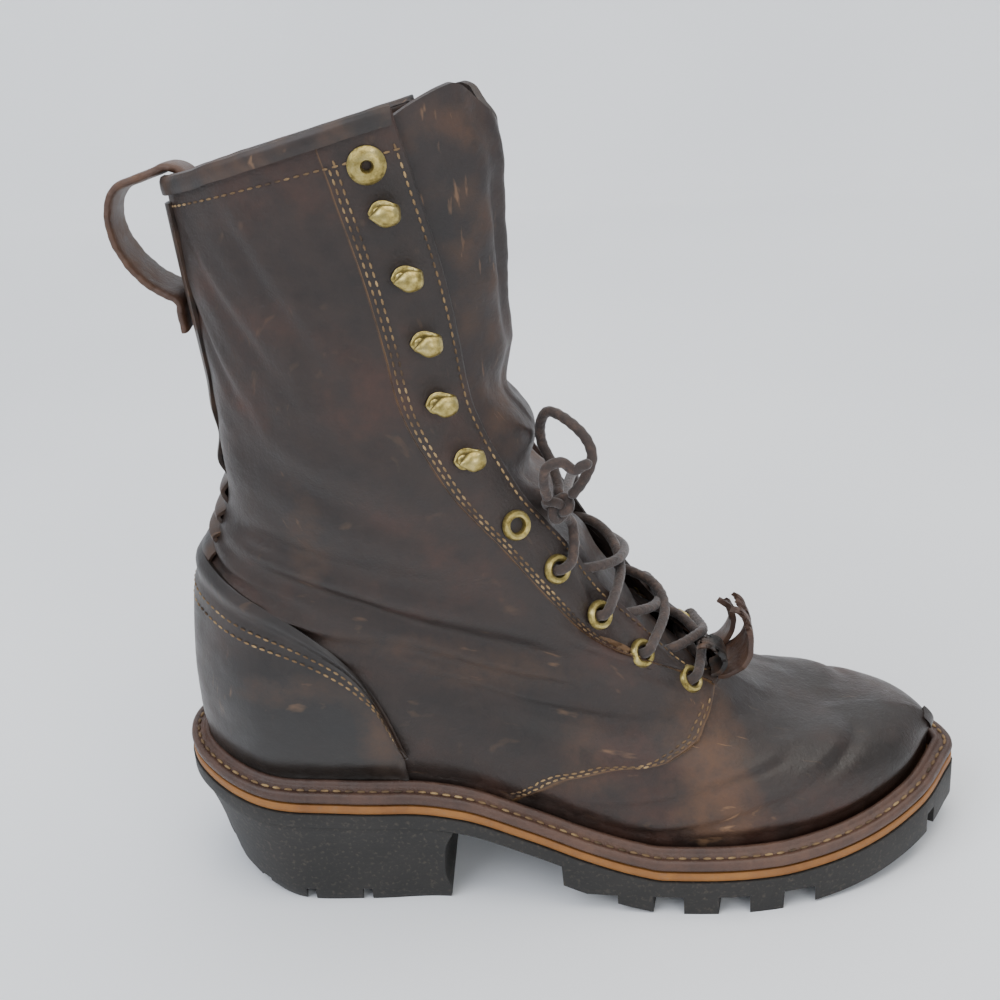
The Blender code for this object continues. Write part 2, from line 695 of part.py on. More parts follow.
def make_heel(folder, cutters):
    """The heel block: undercut at the back, with a lugged underside."""
    stations = [x for x in layer_stations(0.0) if x < HEEL_PIECE_LENGTH - 2 * MM]
    stations.append(HEEL_PIECE_LENGTH)
    bm = bmesh.new()
    rows = []
    for row in HEEL_ROWS:
        outer, inner = layer_sides(row.side * HEEL_SIDE_TAPER)
        ring = []
        for x in stations:
            forward = 1 - min(x / HEEL_PIECE_LENGTH, 1.0)
            at = x + row.back * HEEL_BACK_TAPER * forward**1.5
            at -= row.breast * HEEL_BREAST_INSET * (1 - forward) ** 6
            top = sole_line(x) - PLATE_THICKNESS - CLEARANCE
            edge_x = max(x, row.side * HEEL_SIDE_TAPER + 0.8 * MM)
            ring.append([bm.verts.new((at, side(edge_x), top * row.rise)) for side in (outer, inner)])
        rows.append(ring)
    for low, high in zip(rows, rows[1:]):
        for i in range(len(stations) - 1):
            for k in (0, 1):
                bm.faces.new((low[i][k], low[i + 1][k], high[i + 1][k], high[i][k]))
        for i in (0, len(stations) - 1):
            bm.faces.new((low[i][0], low[i][1], high[i][1], high[i][0]))
    for ring in (rows[0], rows[-1]):
        for i in range(len(stations) - 1):
            bm.faces.new((ring[i][0], ring[i + 1][0], ring[i + 1][1], ring[i][1]))
    heel = place_object("heel", mesh_from(bm, "heel"), BLACK_RUBBER, folder)
    half = HEEL_HEIGHT / 2
    for side in (-1, 1):
        for i, along in enumerate((0.27, 0.44, 0.65)):
            centre = (along * HEEL_PIECE_LENGTH, side * HEEL_WIDTH * 0.42, HEEL_LUG_DEPTH - half)
            size = (HEEL_GROOVE, HEEL_WIDTH * 0.32, 2 * half)
            box_cutter(f"heel_groove_{side + 1}_{i}", centre, size, side * -0.12, cutters)
    for i, along in enumerate((0.35, 0.54, 0.76)):
        size = (HEEL_GROOVE, HEEL_WIDTH * 0.36, 2 * half)
        centre = (along * HEEL_PIECE_LENGTH, 0.0, HEEL_LUG_DEPTH - half)
        box_cutter(f"heel_groove_middle_{i}", centre, size, 0.0, cutters)
    cut_with(heel, cutters)
    return heel


def make_welt(folder):
    """The leather welt: a strip right round the boot with a rib along its inner edge."""
    rib = WELT_WIDTH - WELT_RIB_WIDTH
    section = [
        (1.0 * MM, 0.0),
        (0.3 * MM, WELT_THICKNESS * 0.5),
        (1.2 * MM, WELT_THICKNESS),
        (rib, WELT_THICKNESS),
        (rib + 0.7 * MM, WELT_THICKNESS + WELT_RIB_HEIGHT),
        (WELT_WIDTH - 0.6 * MM, WELT_THICKNESS + WELT_RIB_HEIGHT),
        (WELT_WIDTH - 0.6 * MM, 0.0),
    ]
    rings = []
    for c in around_places(WELT_WIDTH / 2)[:-1]:
        ring = []
        for inset, rise in section:
            x, y = plan(c, inset)
            ring.append((x, y, seat_line(x) + CLEARANCE * 1.5 + rise))
        rings.append(ring)
    return place_object("welt", loft("welt", rings, around=True), WELT_LEATHER, folder)


def make_insole(folder):
    """The insole: the leather bed inside the upper, just over the midsole."""
    inset = FEATHER_INSET + WALL + 6 * CLEARANCE

    def low(x):
        return seat_line(x) + CLEARANCE

    def high(x):
        return low(x) + INSOLE_THICKNESS

    return sole_layer("insole", inset, low, high, TAN_LEATHER, folder)


@lru_cache(maxsize=None)
def quarter_place(level):
    """Place c where a level passes from the quarter to the vamp."""
    along = [row.along for row in QUARTER_EDGE]
    rises = [row.rise for row in QUARTER_EDGE]
    for c in np.linspace(0.1, 0.97, 300):
        point = closed_level(level, c)
        rise = float(np.interp(point.x / SOLE_LENGTH, along, rises, left=-1.0))
        if point.z - seat_line(point.x) < rise * TOE_BOX_HEIGHT:
            return float(c)
    return 0.97


@lru_cache(maxsize=None)
def facing_place(level, inset):
    """Place c behind the throat's edge by an inset along the level."""
    c = throat_edge(level)
    last, run = closed_level(level, c), 0.0
    while run < inset:
        c -= 0.002
        point = closed_level(level, c)
        run += (point - last).length
        last = point
    return c


def step_place(level):
    """Place c of the upper's step: the quarter's edge below, the facing's edge above."""
    if level <= VAMP_POINT:
        return quarter_place(level)
    foot = quarter_place(VAMP_POINT)
    return foot + (facing_place(level, FACING_WIDTH) - foot) * ease((level - VAMP_POINT) / 0.1)


def binding_place():
    """Level where the collar's binding begins."""
    per_level = (closed_level(1.0, 0.0) - closed_level(0.95, 0.0)).length / 0.05
    return 1 - BINDING_HEIGHT / per_level


BINDING_PLACE = binding_place()
EPS = 0.003
UPPER_LEVELS = [0, 0.05, 0.09, 0.13, 0.17, 0.21, 0.25, 0.29, 0.33, 0.38, 0.42, VAMP_POINT]
SHAFT_LEVELS = [VAMP_POINT + EPS * 2, 0.50, 0.54, 0.59, 0.64, 0.70, 0.76, 0.83, 0.90, 0.95]
ALL_LEVELS = UPPER_LEVELS + SHAFT_LEVELS + [BINDING_PLACE, BINDING_PLACE + EPS, 1.0]


def upper_base():
    """Places c of one side's columns at the feather line, and which one the step follows."""
    around = around_places(FEATHER_INSET)
    base = around[len(around) // 2 :]
    return base, int(np.argmin(np.abs(np.array(base) - 0.56)))


def upper_columns(level, base, key):
    """Places c of the upper's columns at a level, with a pair at the step on both sides."""
    edge, step = throat_edge(level), step_place(level)
    half = []
    for k, c in enumerate(base):
        if k <= key:
            half.append(c / base[key] * step)
        else:
            half.append(step + (c - base[key]) / (1 - base[key]) * (edge - step))
        if k == key:
            half.append(step + EPS)
    return [-c for c in half[:0:-1]] + half


def upper_lift(level, beyond_step):
    """Height of the upper's outer face over its skin."""
    lift = QUARTER_STEP
    if beyond_step:
        lift = 0.0 if level <= VAMP_POINT else QUARTER_STEP + FACING_STEP
    if level > BINDING_PLACE:
        lift = QUARTER_STEP + FACING_STEP + BINDING_STEP
    return lift


def over_wall(level, k, lift):
    """Point over the upper's faces on its column k, straight between two of its rows."""
    base, key = upper_base()
    i = min(int(np.searchsorted(UPPER_LEVELS, level, side="right")), len(UPPER_LEVELS) - 1)
    low, high = UPPER_LEVELS[i - 1], UPPER_LEVELS[i]
    ends = [skin(row, upper_columns(row, base, key)[k], lift) for row in (low, high)]
    return ends[0].lerp(ends[1], (level - low) / (high - low))


def make_upper(folder, cutters):
    """The hollow upper: open at the collar, the throat and underneath."""
    base, key = upper_base()
    columns = [upper_columns(level, base, key) for level in ALL_LEVELS]
    middle = len(columns[0]) // 2
    outer, inner = [], []
    for level, row in zip(ALL_LEVELS, columns):
        lifts = [upper_lift(level, abs(k - middle) > key) for k in range(len(row))]
        outer.append([skin(level, c, lift) for c, lift in zip(row, lifts)])
        inner.append([skin(level, c, -WALL) for c in row])
    joined = len(UPPER_LEVELS)
    upper = place_object("upper", slab("upper", inner, outer, joined), BROWN_LEATHER, folder)
    radius = EYELET_HOLE / 2 + EYELET_BARREL + CLEARANCE
    for name, seat, normal in eyelet_seats():
        rod_cutter(f"hole_{name}", seat, normal, radius, CUTTER_REACH, CUTTER_SIDES, cutters)
    cut_with(upper, cutters)
    return upper


def seat_on_facing(level, inset, side):
    """A point of the facing's outer face and its outward direction."""
    c = side * facing_place(level, inset)
    return skin(level, c, QUARTER_STEP + FACING_STEP), closed_normal(level, c)


def eyelet_levels():
    return [EYELET_LOW + i * (EYELET_HIGH - EYELET_LOW) / (EYELET_PAIRS - 1) for i in range(EYELET_PAIRS)]


def hook_levels():
    return [HOOK_LOW + i * (HOOK_HIGH - HOOK_LOW) / (HOOK_PAIRS - 1) for i in range(HOOK_PAIRS)]


def eyelet_seats():
    """Name, place and direction of every eyelet, the top pair last."""
    seats = []
    for side, letter in ((-1, "outer"), (1, "inner")):
        for i, level in enumerate(eyelet_levels()):
            seats.append((f"{letter}_{i + 1}", *seat_on_facing(level, EYELET_INSET, side)))
        seats.append((f"{letter}_top", *seat_on_facing(TOP_EYELET_LEVEL, EYELET_INSET, side)))
    return seats


def stand_on(piece, seat, normal, turned=False):
    """Places a piece with its Z out of the surface and its Y upwards, or turned half round."""
    z = normal.normalized()
    x = Vector((0, 0, 1)).cross(z).normalized()
    frame = Matrix((x, z.cross(x), z)).transposed()
    if turned:
        frame = frame @ Matrix.Rotation(math.pi, 3, "Z")
    piece.location = seat
    piece.rotation_euler = frame.to_euler()


def eyelet_mesh(name, outer):
    """Half section of an eyelet, turned by a Screw modifier: domed flange and barrel."""
    hole, barrel = EYELET_HOLE / 2, EYELET_HOLE / 2 + EYELET_BARREL
    seat = 2 * CLEARANCE
    section = [
        (hole, seat + EYELET_LIP * 0.6),
        (outer - EYELET_LIP, seat + EYELET_LIP),
        (outer, seat),
        (barrel, seat),
        (barrel, -WALL),
        (hole, -WALL),
    ]
    bm = bmesh.new()
    spots = [bm.verts.new((radius, 0, height)) for radius, height in section]
    for k, spot in enumerate(spots):
        bm.edges.new((spot, spots[(k + 1) % len(spots)]))
    mesh = bpy.data.meshes.new(name)
    bm.to_mesh(mesh)
    bm.free()
    return mesh


def make_eyelets(folder):
    """Brass eyelets, each in its hole of the upper."""
    low = eyelet_mesh("eyelet", EYELET_OUTER / 2)
    top = eyelet_mesh("eyelet_top", TOP_EYELET_OUTER / 2)
    for name, seat, normal in eyelet_seats():
        mesh = top if name.endswith("top") else low
        eyelet = place_object(f"eyelet_{name}", mesh, WORN_BRASS, folder)
        stand_on(eyelet, seat, normal)
        turn = eyelet.modifiers.new("Turn", "SCREW")
        turn.steps = turn.render_steps = EYELET_SIDES
        turn.use_merge_vertices = True
        turn.merge_threshold = CLEARANCE / 10


def hook_mesh():
    """A hook: a plate that lies on the facing, bent over at the throat's side."""
    points = [Vector((row.reach * HOOK_REACH, 0, row.rise * HOOK_HEIGHT)) for row in HOOK_PATH]
    across = Vector((0, 1, 0))
    rings = []
    for k, row in enumerate(HOOK_PATH):
        along = points[min(k + 1, len(points) - 1)] - points[max(k - 1, 0)]
        up = along.cross(across).normalized() * HOOK_SHEET / 2
        half = across * row.width * HOOK_WIDTH / 2
        centre = points[k] + Vector((0, 0, 2 * CLEARANCE + HOOK_SHEET / 2))
        rings.append([centre - half - up, centre + half - up, centre + half + up, centre - half + up])
    return loft("hook", rings)


def make_hooks(folder):
    """Brass speed hooks up both facings, open towards the throat."""
    mesh = hook_mesh()
    for side, letter in ((-1, "outer"), (1, "inner")):
        for i, level in enumerate(hook_levels()):
            hook = place_object(f"hook_{letter}_{i + 1}", mesh, WORN_BRASS, folder)
            stand_on(hook, *seat_on_facing(level, EYELET_INSET, side), turned=side > 0)


def make_counter(folder):
    """The heel counter: a leather pocket round the heel with a raised rim."""
    base, key = upper_base()
    middle = len(upper_columns(0.1, base, key)) // 2
    reach = next(
        k for k in range(1, middle)
        if closed_level(0.1, upper_columns(0.1, base, key)[middle + k]).x > COUNTER_LENGTH
    )
    back = closed_level(0.1, 0.0).x
    along = [row.along for row in COUNTER_EDGE]
    rises = [row.rise for row in COUNTER_EDGE]
    columns = list(range(middle - reach, middle + reach + 1))
    tops = []
    for k in columns:
        level = COUNTER_FOOT + 0.02
        for step in np.linspace(COUNTER_FOOT + 0.02, 0.6, 60):
            point = closed_level(step, upper_columns(step, base, key)[k])
            share = (point.x - back) / (COUNTER_LENGTH - back)
            if point.z - seat_line(point.x) < float(np.interp(share, along, rises)) * COUNTER_HEIGHT:
                level = float(step)
        tops.append(level)
    inner, outer = [], []
    for share in COUNTER_ROWS:
        low = QUARTER_STEP + CLEARANCE * (3 + 3 * share)
        rim = COUNTER_RIM if share > 0.93 else 0.0
        levels = [COUNTER_FOOT + share * (top - COUNTER_FOOT) for top in tops]
        inner.append([over_wall(level, k, low) for level, k in zip(levels, columns)])
        outer.append(
            [over_wall(level, k, low + COUNTER_THICKNESS + rim) for level, k in zip(levels, columns)]
        )
    return place_object("heel_counter", slab("heel_counter", inner, outer), DARK_LEATHER, folder)


def make_back_stay(folder):
    """The strip that covers the seam up the back of the shaft."""
    levels = [float(p) for p in np.linspace(STAY_FOOT, BINDING_PLACE - EPS * 2, 9)]
    low = QUARTER_STEP + CLEARANCE * 1.3
    inner, outer = [], []
    for level in levels:
        half = BACK_STAY_WIDTH / 2
        c_half = next(
            c for c in np.linspace(0.01, 0.3, 300)
            if (closed_level(level, c) - closed_level(level, 0.0)).length > half
        )
        cs = [float(t * c_half) for t in (-1, -0.5, 0, 0.5, 1)]
        inner.append([skin(level, c, low) for c in cs])
        outer.append([skin(level, c, low + BACK_STAY_THICKNESS) for c in cs])
    return place_object("back_stay", slab("back_stay", inner, outer), BROWN_LEATHER, folder)


def tongue_point(level, share, depth):
    """Point of the tongue. share runs from -1 to 1 across it, depth is into the boot."""
    spread = ease((level - 0.44) / 0.30)
    half = (TONGUE_WIDTH / 2) * (0.5 + 0.5 * spread)
    at = min(level, 1.0)
    length = sum(
        (closed_level(at, 1 - k * 0.01) - closed_level(at, 1 - (k + 1) * 0.01)).length for k in range(20)
    )
    w = share * half / (length / 0.2)
    edge = 1 - throat_edge(at)
    open_share = 1 - ease((abs(w) - edge * 0.35) / max(edge * 0.6, 0.02)) if edge > 0 else 0.0
    open_share *= ease((level - 0.50) / 0.12)
    lift = TONGUE_BULGE * open_share - depth - WALL - CLEARANCE * (12 - 9 * spread)
    c = 1 - w if w >= 0 else -1 - w
    point = skin(at, c, lift)
    if level > at:
        point += (skin(at, c, lift) - skin(at - 0.03, c, lift)) * ((level - at) / 0.03)
    curl = ease((level - 0.94) / 0.06) * open_share
    point.x -= TONGUE_CURL * curl
    return point


def make_tongue(folder):
    """The tongue: one sheet behind the throat, from under the vamp to over the collar."""
    levels = [0.425, 0.46, 0.50, 0.54, 0.59, 0.64, 0.70, 0.76, 0.82, 0.88, 0.93, 0.97, TONGUE_TOP]
    shares = [-1, -0.8, -0.6, -0.4, -0.2, 0, 0.2, 0.4, 0.6, 0.8, 1]
    inner, outer = [], []
    for level in levels:
        drop = ease((level - 0.9) / 0.12) * 0.1
        spots = [(level - drop * abs(s) ** 4, s) for s in shares]
        inner.append([tongue_point(p, s, TONGUE_THICKNESS) for p, s in spots])
        outer.append([tongue_point(p, s, 0.0) for p, s in spots])
    return place_object("tongue", slab("tongue", inner, outer), DARK_LEATHER, folder)


def make_kiltie(folder):
    """The worn stub of the kiltie: a curled flap with a cut edge at the foot of the throat."""
    base = QUARTER_STEP + FACING_STEP + CLEARANCE * 3
    root = closed_level(EYELET_LOW, 1.0).x + LACE_DIAMETER + KILTIE_THICKNESS / 4
    shares = np.linspace(-1, 1, 2 * KILTIE_TEETH + 1)
    columns = []
    for j, share in enumerate(shares):
        column = []
        for along, rise in KILTIE_PATH:
            tooth = KILTIE_TOOTH if j % 2 and rise == 1.0 else 0.0
            x = root + KILTIE_LENGTH * (along + tooth)
            level = next(p for p in np.linspace(0.60, 0.36, 400) if closed_level(p, 1.0).x > x)
            span = (closed_level(level, 1.0) - closed_level(level, 0.95)).length / 0.05
            w = share * KILTIE_WIDTH / 2 / span
            column.append(over_throat(level, w, base + KILTIE_LIFT * rise))
        columns.append(column)
    inner, outer = [], []
    for k in range(len(KILTIE_PATH)):
        low_row, high_row = [], []
        for column in columns:
            along = column[min(k + 1, len(column) - 1)] - column[max(k - 1, 0)]
            half = along.cross(Vector((0, 1, 0))).normalized() * KILTIE_THICKNESS / 2
            low_row.append(column[k] - half)
            high_row.append(column[k] + half)
        inner.append(low_row)
        outer.append(high_row)
    return place_object("kiltie", slab("kiltie", inner, outer), BROWN_LEATHER, folder)


def make_pull_loop(folder):
    """The pull loop: a strap over the collar's back edge and down to the back stay."""
    half = LOOP_THICKNESS / 2
    rim = skin(1.0, 0.0)
    outside = QUARTER_STEP + CLEARANCE * 3 + BACK_STAY_THICKNESS + half
    sag = LOOP_WIDTH**2 / (2 * COLLAR_WIDTH)
    lap = (WALL + sag + QUARTER_STEP + FACING_STEP + BINDING_STEP) / 2
    bend = lap + CLEARANCE * 5 + half
    middle = rim + Vector((WALL + sag - lap, 0, CLEARANCE * 3 - bend * 0.45))
    inside = WALL + sag + CLEARANCE * 5 + half
    points = [skin(level, 0.0, -inside) for level in (0.90, 0.94, 0.97)]
    for turn in (10, 50, 90, 130):
        turn = math.radians(turn)
        points.append(middle + Vector((math.cos(turn), 0, math.sin(turn))) * bend)
    for reach, rise in LOOP_PATH:
        points.append(rim + Vector((-reach * LOOP_REACH - outside * 0.2, 0, rise * LOOP_HEIGHT)))
    per_level = (closed_level(1.0, 0.0) - closed_level(0.8, 0.0)).length / 0.2
    for drop in (0.95, 1.08, 1.22):
        points.append(skin(1 - drop * LOOP_HEIGHT / per_level, 0.0, outside))
    line = smooth_line([tuple(p) for p in points], 22)
    rings = []
    for k, point in enumerate(line):
        along = Vector(line[min(k + 1, len(line) - 1)] - line[max(k - 1, 0)])
        near_rim = ease(1 - (rim.z - point[2]) / (LOOP_HEIGHT * 0.8))
        across = Vector((0, 1, -near_rim * COLLAR_TILT / COLLAR_WIDTH)).normalized()
        up = along.cross(across).normalized() * half
        wide = across * LOOP_WIDTH / 2
        centre = Vector(point)
        rings.append([centre - wide - up, centre + wide - up, centre + wide + up, centre - wide + up])
    return place_object("pull_loop", loft("pull_loop", rings), TAN_LEATHER, folder)


def lace_tube(name, points, count):
    """A lace along a smooth line through the points, as a mesh tube."""
    curve = bpy.data.curves.new(name, "CURVE")
    curve.dimensions = "3D"
    curve.bevel_depth = LACE_DIAMETER / 2
    curve.bevel_resolution = 2
    curve.use_fill_caps = True
    spline = curve.splines.new("POLY")
    line = smooth_line([tuple(p) for p in points], count)
    spline.points.add(count - 1)
    for spot, point in zip(spline.points, line):
        spot.co = (*point, 1)
    return bpy.data.objects.new(name, curve)


def mesh_of(curve_object, name):
    """The evaluated mesh of a curve, with its caps welded."""
    bpy.context.scene.collection.objects.link(curve_object)
    graph = bpy.context.evaluated_depsgraph_get()
    mesh = bpy.data.meshes.new_from_object(curve_object.evaluated_get(graph))
    bpy.data.objects.remove(curve_object)
    bm = bmesh.new()
    bm.from_mesh(mesh)
    bmesh.ops.remove_doubles(bm, verts=bm.verts, dist=0.01 * MM)
    return mesh_from(bm, name)


def over_throat(level, w, lift):
    """Point over the throat. w is 0 at its middle and runs to the inner side."""
    c = 1 - w if w >= 0 else -1 - w
    return skin(level, c, lift)


def make_laces(folder, union_folder):
    """The laces' crossings between the eyelets, joined where they cross."""
    lift = QUARTER_STEP + FACING_STEP + CLEARANCE * 3 + LACE_DIAMETER / 2
    levels = eyelet_levels()[:-1]
    tubes = []
    for side in (-1, 1):
        points = [over_throat(levels[0], 0.0, lift + LACE_PILE)]
        for i, level in enumerate(levels):
            turn = EYELET_INSET - EYELET_OUTER / 2 - LACE_DIAMETER / 2 - 2 * CLEARANCE
            edge = 1 - facing_place(level, turn)
            way = side if i % 2 == 0 else -side
            points.append(over_throat(level - 0.003, way * edge * 0.72, lift))
            points.append(over_throat(level, way * edge, lift))
            if i < len(levels) - 1:
                points.append(over_throat(level + 0.006, way * edge * 0.72, lift))
                points.append(over_throat((level + levels[i + 1]) / 2, 0.0, lift + LACE_PILE))
        tubes.append(mesh_of(lace_tube("lace", points, 28), f"lace_{side + 1}"))
    laces = place_object("laces", tubes[0], LACE_CORD, folder)
    other = bpy.data.objects.new("lace_joined", tubes[1])
    union_folder.objects.link(other)
    other.hide_render = True
    other.display_type = "WIRE"
    join = laces.modifiers.new("Join", "BOOLEAN")
    join.operation = "UNION"
    join.object = other
    join.solver = "EXACT"
    return laces


# Route of the bow's loop and of the free end: along, across and up from the knot
LOOP_ROUTE = [(4, -1, 4), (9, 0, 10), (12, 2, 17), (10, 5, 23), (4, 9, 28), (-2, 14, 29), (-5, 18, 23)]
LOOP_RETURN = [(-5, 20, 15), (-2, 18, 8), (0, 12, 3), (0, 7, 1)]
END_ROUTE = [(-3, -4, 5), (-4, -6, 12), (-3, -7, 18), (2, -7, 20), (6, -7, 17), (9, -8, 20)]


def knot_centre():
    """Where the lace is knotted, over the throat above its last crossing."""
    lift = QUARTER_STEP + FACING_STEP + KNOT_SIZE * 0.6
    return over_throat(KNOT_LEVEL, KNOT_SIDE, lift)


def make_bow(folder):
    """The knot with one loop and one free end."""
    centre = knot_centre()
    bm = bmesh.new()
    bmesh.ops.create_icosphere(bm, subdivisions=2, radius=KNOT_SIZE / 2)
    bmesh.ops.scale(bm, verts=bm.verts, vec=(1.0, 1.2, 0.85))
    bmesh.ops.translate(bm, verts=bm.verts, vec=centre)
    place_object("lace_knot", mesh_from(bm, "lace_knot"), LACE_CORD, folder)
    for name, route, count in (
        ("lace_loop", LOOP_ROUTE + LOOP_RETURN, 24),
        ("lace_end", END_ROUTE, 12),
    ):
        points = [centre + Vector(spot) * MM * (KNOT_SIZE / (10 * MM)) for spot in route]
        mesh = mesh_of(lace_tube(name, points, count), name)
        place_object(name, mesh, LACE_CORD, folder)


def build():
    for piece in list(bpy.data.objects):
        bpy.data.objects.remove(piece)
    names = ("logger_boot", "outsole_cutters", "heel_cutters", "upper_cutters", "lace_parts")
    folders = [bpy.data.collections.new(name) for name in names]
    for folder in folders:
        bpy.context.scene.collection.children.link(folder)
    boot, outsole_cutters, heel_cutters, upper_cutters, lace_parts = folders
    make_outsole(boot, outsole_cutters)
    make_heel(boot, heel_cutters)

    def low(x):
        return sole_line(x) + CLEARANCE

    sole_layer("midsole", MIDSOLE_INSET, low, seat_line, TAN_RUBBER, boot)
    make_welt(boot)
    make_insole(boot)
    make_upper(boot, upper_cutters)
    make_counter(boot)
    make_back_stay(boot)
    make_tongue(boot)
    make_kiltie(boot)
    make_pull_loop(boot)
    make_eyelets(boot)
    make_hooks(boot)
    make_laces(boot, lace_parts)
    make_bow(boot)
    for piece in bpy.data.objects:
        piece.location.x -= HEEL_REST


build()
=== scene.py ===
# %% [markdown]
# # A logger boot, dressed for its photograph
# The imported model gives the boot's place and size. Each cell below swaps one plain solid for the
# finished piece that stands in the same spot: stitched leather, lace, brass and lugged rubber.

# %% Load the frame
import math

import bpy
import numpy as np
from mathutils import Matrix, Vector


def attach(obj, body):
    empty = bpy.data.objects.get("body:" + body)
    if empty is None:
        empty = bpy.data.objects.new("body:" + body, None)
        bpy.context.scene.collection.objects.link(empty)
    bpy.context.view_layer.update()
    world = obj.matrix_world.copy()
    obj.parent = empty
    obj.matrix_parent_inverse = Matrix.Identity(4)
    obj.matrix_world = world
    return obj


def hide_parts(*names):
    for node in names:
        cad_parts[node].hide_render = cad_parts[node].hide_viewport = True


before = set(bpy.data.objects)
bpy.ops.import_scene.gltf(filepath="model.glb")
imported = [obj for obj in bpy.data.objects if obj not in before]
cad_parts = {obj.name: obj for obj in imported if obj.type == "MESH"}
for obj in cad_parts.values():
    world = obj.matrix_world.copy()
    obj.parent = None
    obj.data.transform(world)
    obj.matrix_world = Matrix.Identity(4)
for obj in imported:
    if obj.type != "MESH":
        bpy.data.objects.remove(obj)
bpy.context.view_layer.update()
MM = 0.001
print("nodes in the frame:", len(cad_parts))

# %% [markdown]
# ## The camera
# The photograph looks at the boot's outer side from a little above, and leans by a few degrees.
# A camera is three directions and a place. The photograph's own camera is turned about its place
# until the boot is in the middle, so that the angle to the boot stays the same.

# %% Camera
HEEL_REST = 62 * MM
CAMERA_PLACE = np.array((160.4, -519.0, 407.0)) * MM - np.array([HEEL_REST, 0, 0])
CAMERA_YAW, CAMERA_PITCH, CAMERA_ROLL = (math.radians(v) for v in (12.8, 28.0, 3.6))
PHOTO_FOCUS = 910.0
PHOTO_AIM = (256.0, 480.0)
FRAME_SIZE = 1000.0
FOCUS = 1655.0
SENSOR = 36.0


def camera_axes():
    """Right, up and forward of the photograph's camera, turned to the boot's middle."""
    level = np.array([math.sin(CAMERA_YAW), math.cos(CAMERA_YAW), 0])
    forward = level * math.cos(CAMERA_PITCH) - np.array([0, 0, math.sin(CAMERA_PITCH)])
    flat = np.array([math.cos(CAMERA_YAW), -math.sin(CAMERA_YAW), 0])
    rise = np.cross(flat, forward)
    right = math.cos(CAMERA_ROLL) * flat + math.sin(CAMERA_ROLL) * rise
    up = -math.sin(CAMERA_ROLL) * flat + math.cos(CAMERA_ROLL) * rise
    half = FRAME_SIZE / 2
    aim = forward * PHOTO_FOCUS + right * (PHOTO_AIM[0] - half) - up * (PHOTO_AIM[1] - half)
    turn = Vector(forward).rotation_difference(Vector(aim))
    return [turn @ Vector(axis) for axis in (right, up, forward)]


right, up, forward = camera_axes()
camera = bpy.data.objects.new("camera", bpy.data.cameras.new("camera"))
bpy.context.scene.collection.objects.link(camera)
camera.data.sensor_width = SENSOR
camera.data.lens = SENSOR * FOCUS / FRAME_SIZE
camera.data.clip_start = 10 * MM
camera.matrix_world = Matrix.Translation(CAMERA_PLACE) @ Matrix((right, up, -forward)).transposed().to_4x4()
bpy.context.scene.camera = camera
print("camera lens:", round(camera.data.lens, 1), "mm")

# %% [markdown]
# ## Helpers for colours and nodes
# Colours are picked as hex values, as on a screen, and Blender mixes light in linear values, so
# one function turns the first into the second. Another adds a node with its settings and links.


# %% Colour and node helpers
def linear(code):
    """A hex colour as linear red, green, blue and alpha."""
    parts = [int(code[k : k + 2], 16) / 255 for k in (1, 3, 5)]
    return (*(p / 12.92 if p <= 0.04045 else ((p + 0.055) / 1.055) ** 2.4 for p in parts), 1.0)


def feed(tree, node, inputs):
    """Links or fills a node's inputs. A node given as a value stands for its main output."""
    for key, value in inputs.items():
        if isinstance(value, bpy.types.Node):
            value = value.outputs[2 if value.bl_idname == "ShaderNodeMix" else 0]
        if isinstance(value, bpy.types.NodeSocket):
            tree.links.new(value, node.inputs[key])
        else:
            node.inputs[key].default_value = value


def add(tree, kind, inputs=None, stops=None, **settings):
    """Adds a shader node, gives it its settings and colour stops, and feeds its inputs."""
    made = tree.nodes.new("ShaderNode" + kind)
    for name, value in settings.items():
        setattr(made, name, value)
    if stops:
        steps = made.color_ramp.elements
        while len(steps) < len(stops):
            steps.new(0.5)
        for step, (place, colour) in zip(steps, stops):
            step.position = place
            step.color = linear(colour) if isinstance(colour, str) else (colour,) * 3 + (1.0,)
    feed(tree, made, inputs or {})
    return made


def begin(name):
    """A new material, its tree, its shader and the place on the object that its textures use."""
    made = bpy.data.materials.new(name)
    made.use_nodes = True
    tree = made.node_tree
    return made, tree, tree.nodes["Principled BSDF"], add(tree, "TexCoord").outputs["Object"]


def noise_finish(name, noise, stops, grit=None, bump=None, **sockets):
    """A material whose colour follows one noise and whose bump follows it or a finer one."""
    made, tree, shader, spot = begin(name)
    cloud = add(tree, "TexNoise", {"Vector": spot, **noise})
    inputs = {"Base Color": add(tree, "ValToRGB", {"Fac": cloud}, stops)}
    if bump:
        fine = add(tree, "TexNoise", {"Vector": spot, **grit}) if grit else cloud
        strength, distance = bump
        inputs["Normal"] = add(tree, "Bump", {"Height": fine, "Strength": strength, "Distance": distance * MM})
    feed(tree, shader, inputs | {key.replace("_", " "): value for key, value in sockets.items()})
    return made


# %% [markdown]
# ## The shape of the last
# A boot's upper takes its shape from the last, the wooden foot that it is pulled over. Here the
# last is a table of levels, from the sole up to the collar, and a place around each level. The
# same numbers shaped the solids, so every piece made from them lies where its solid lies.

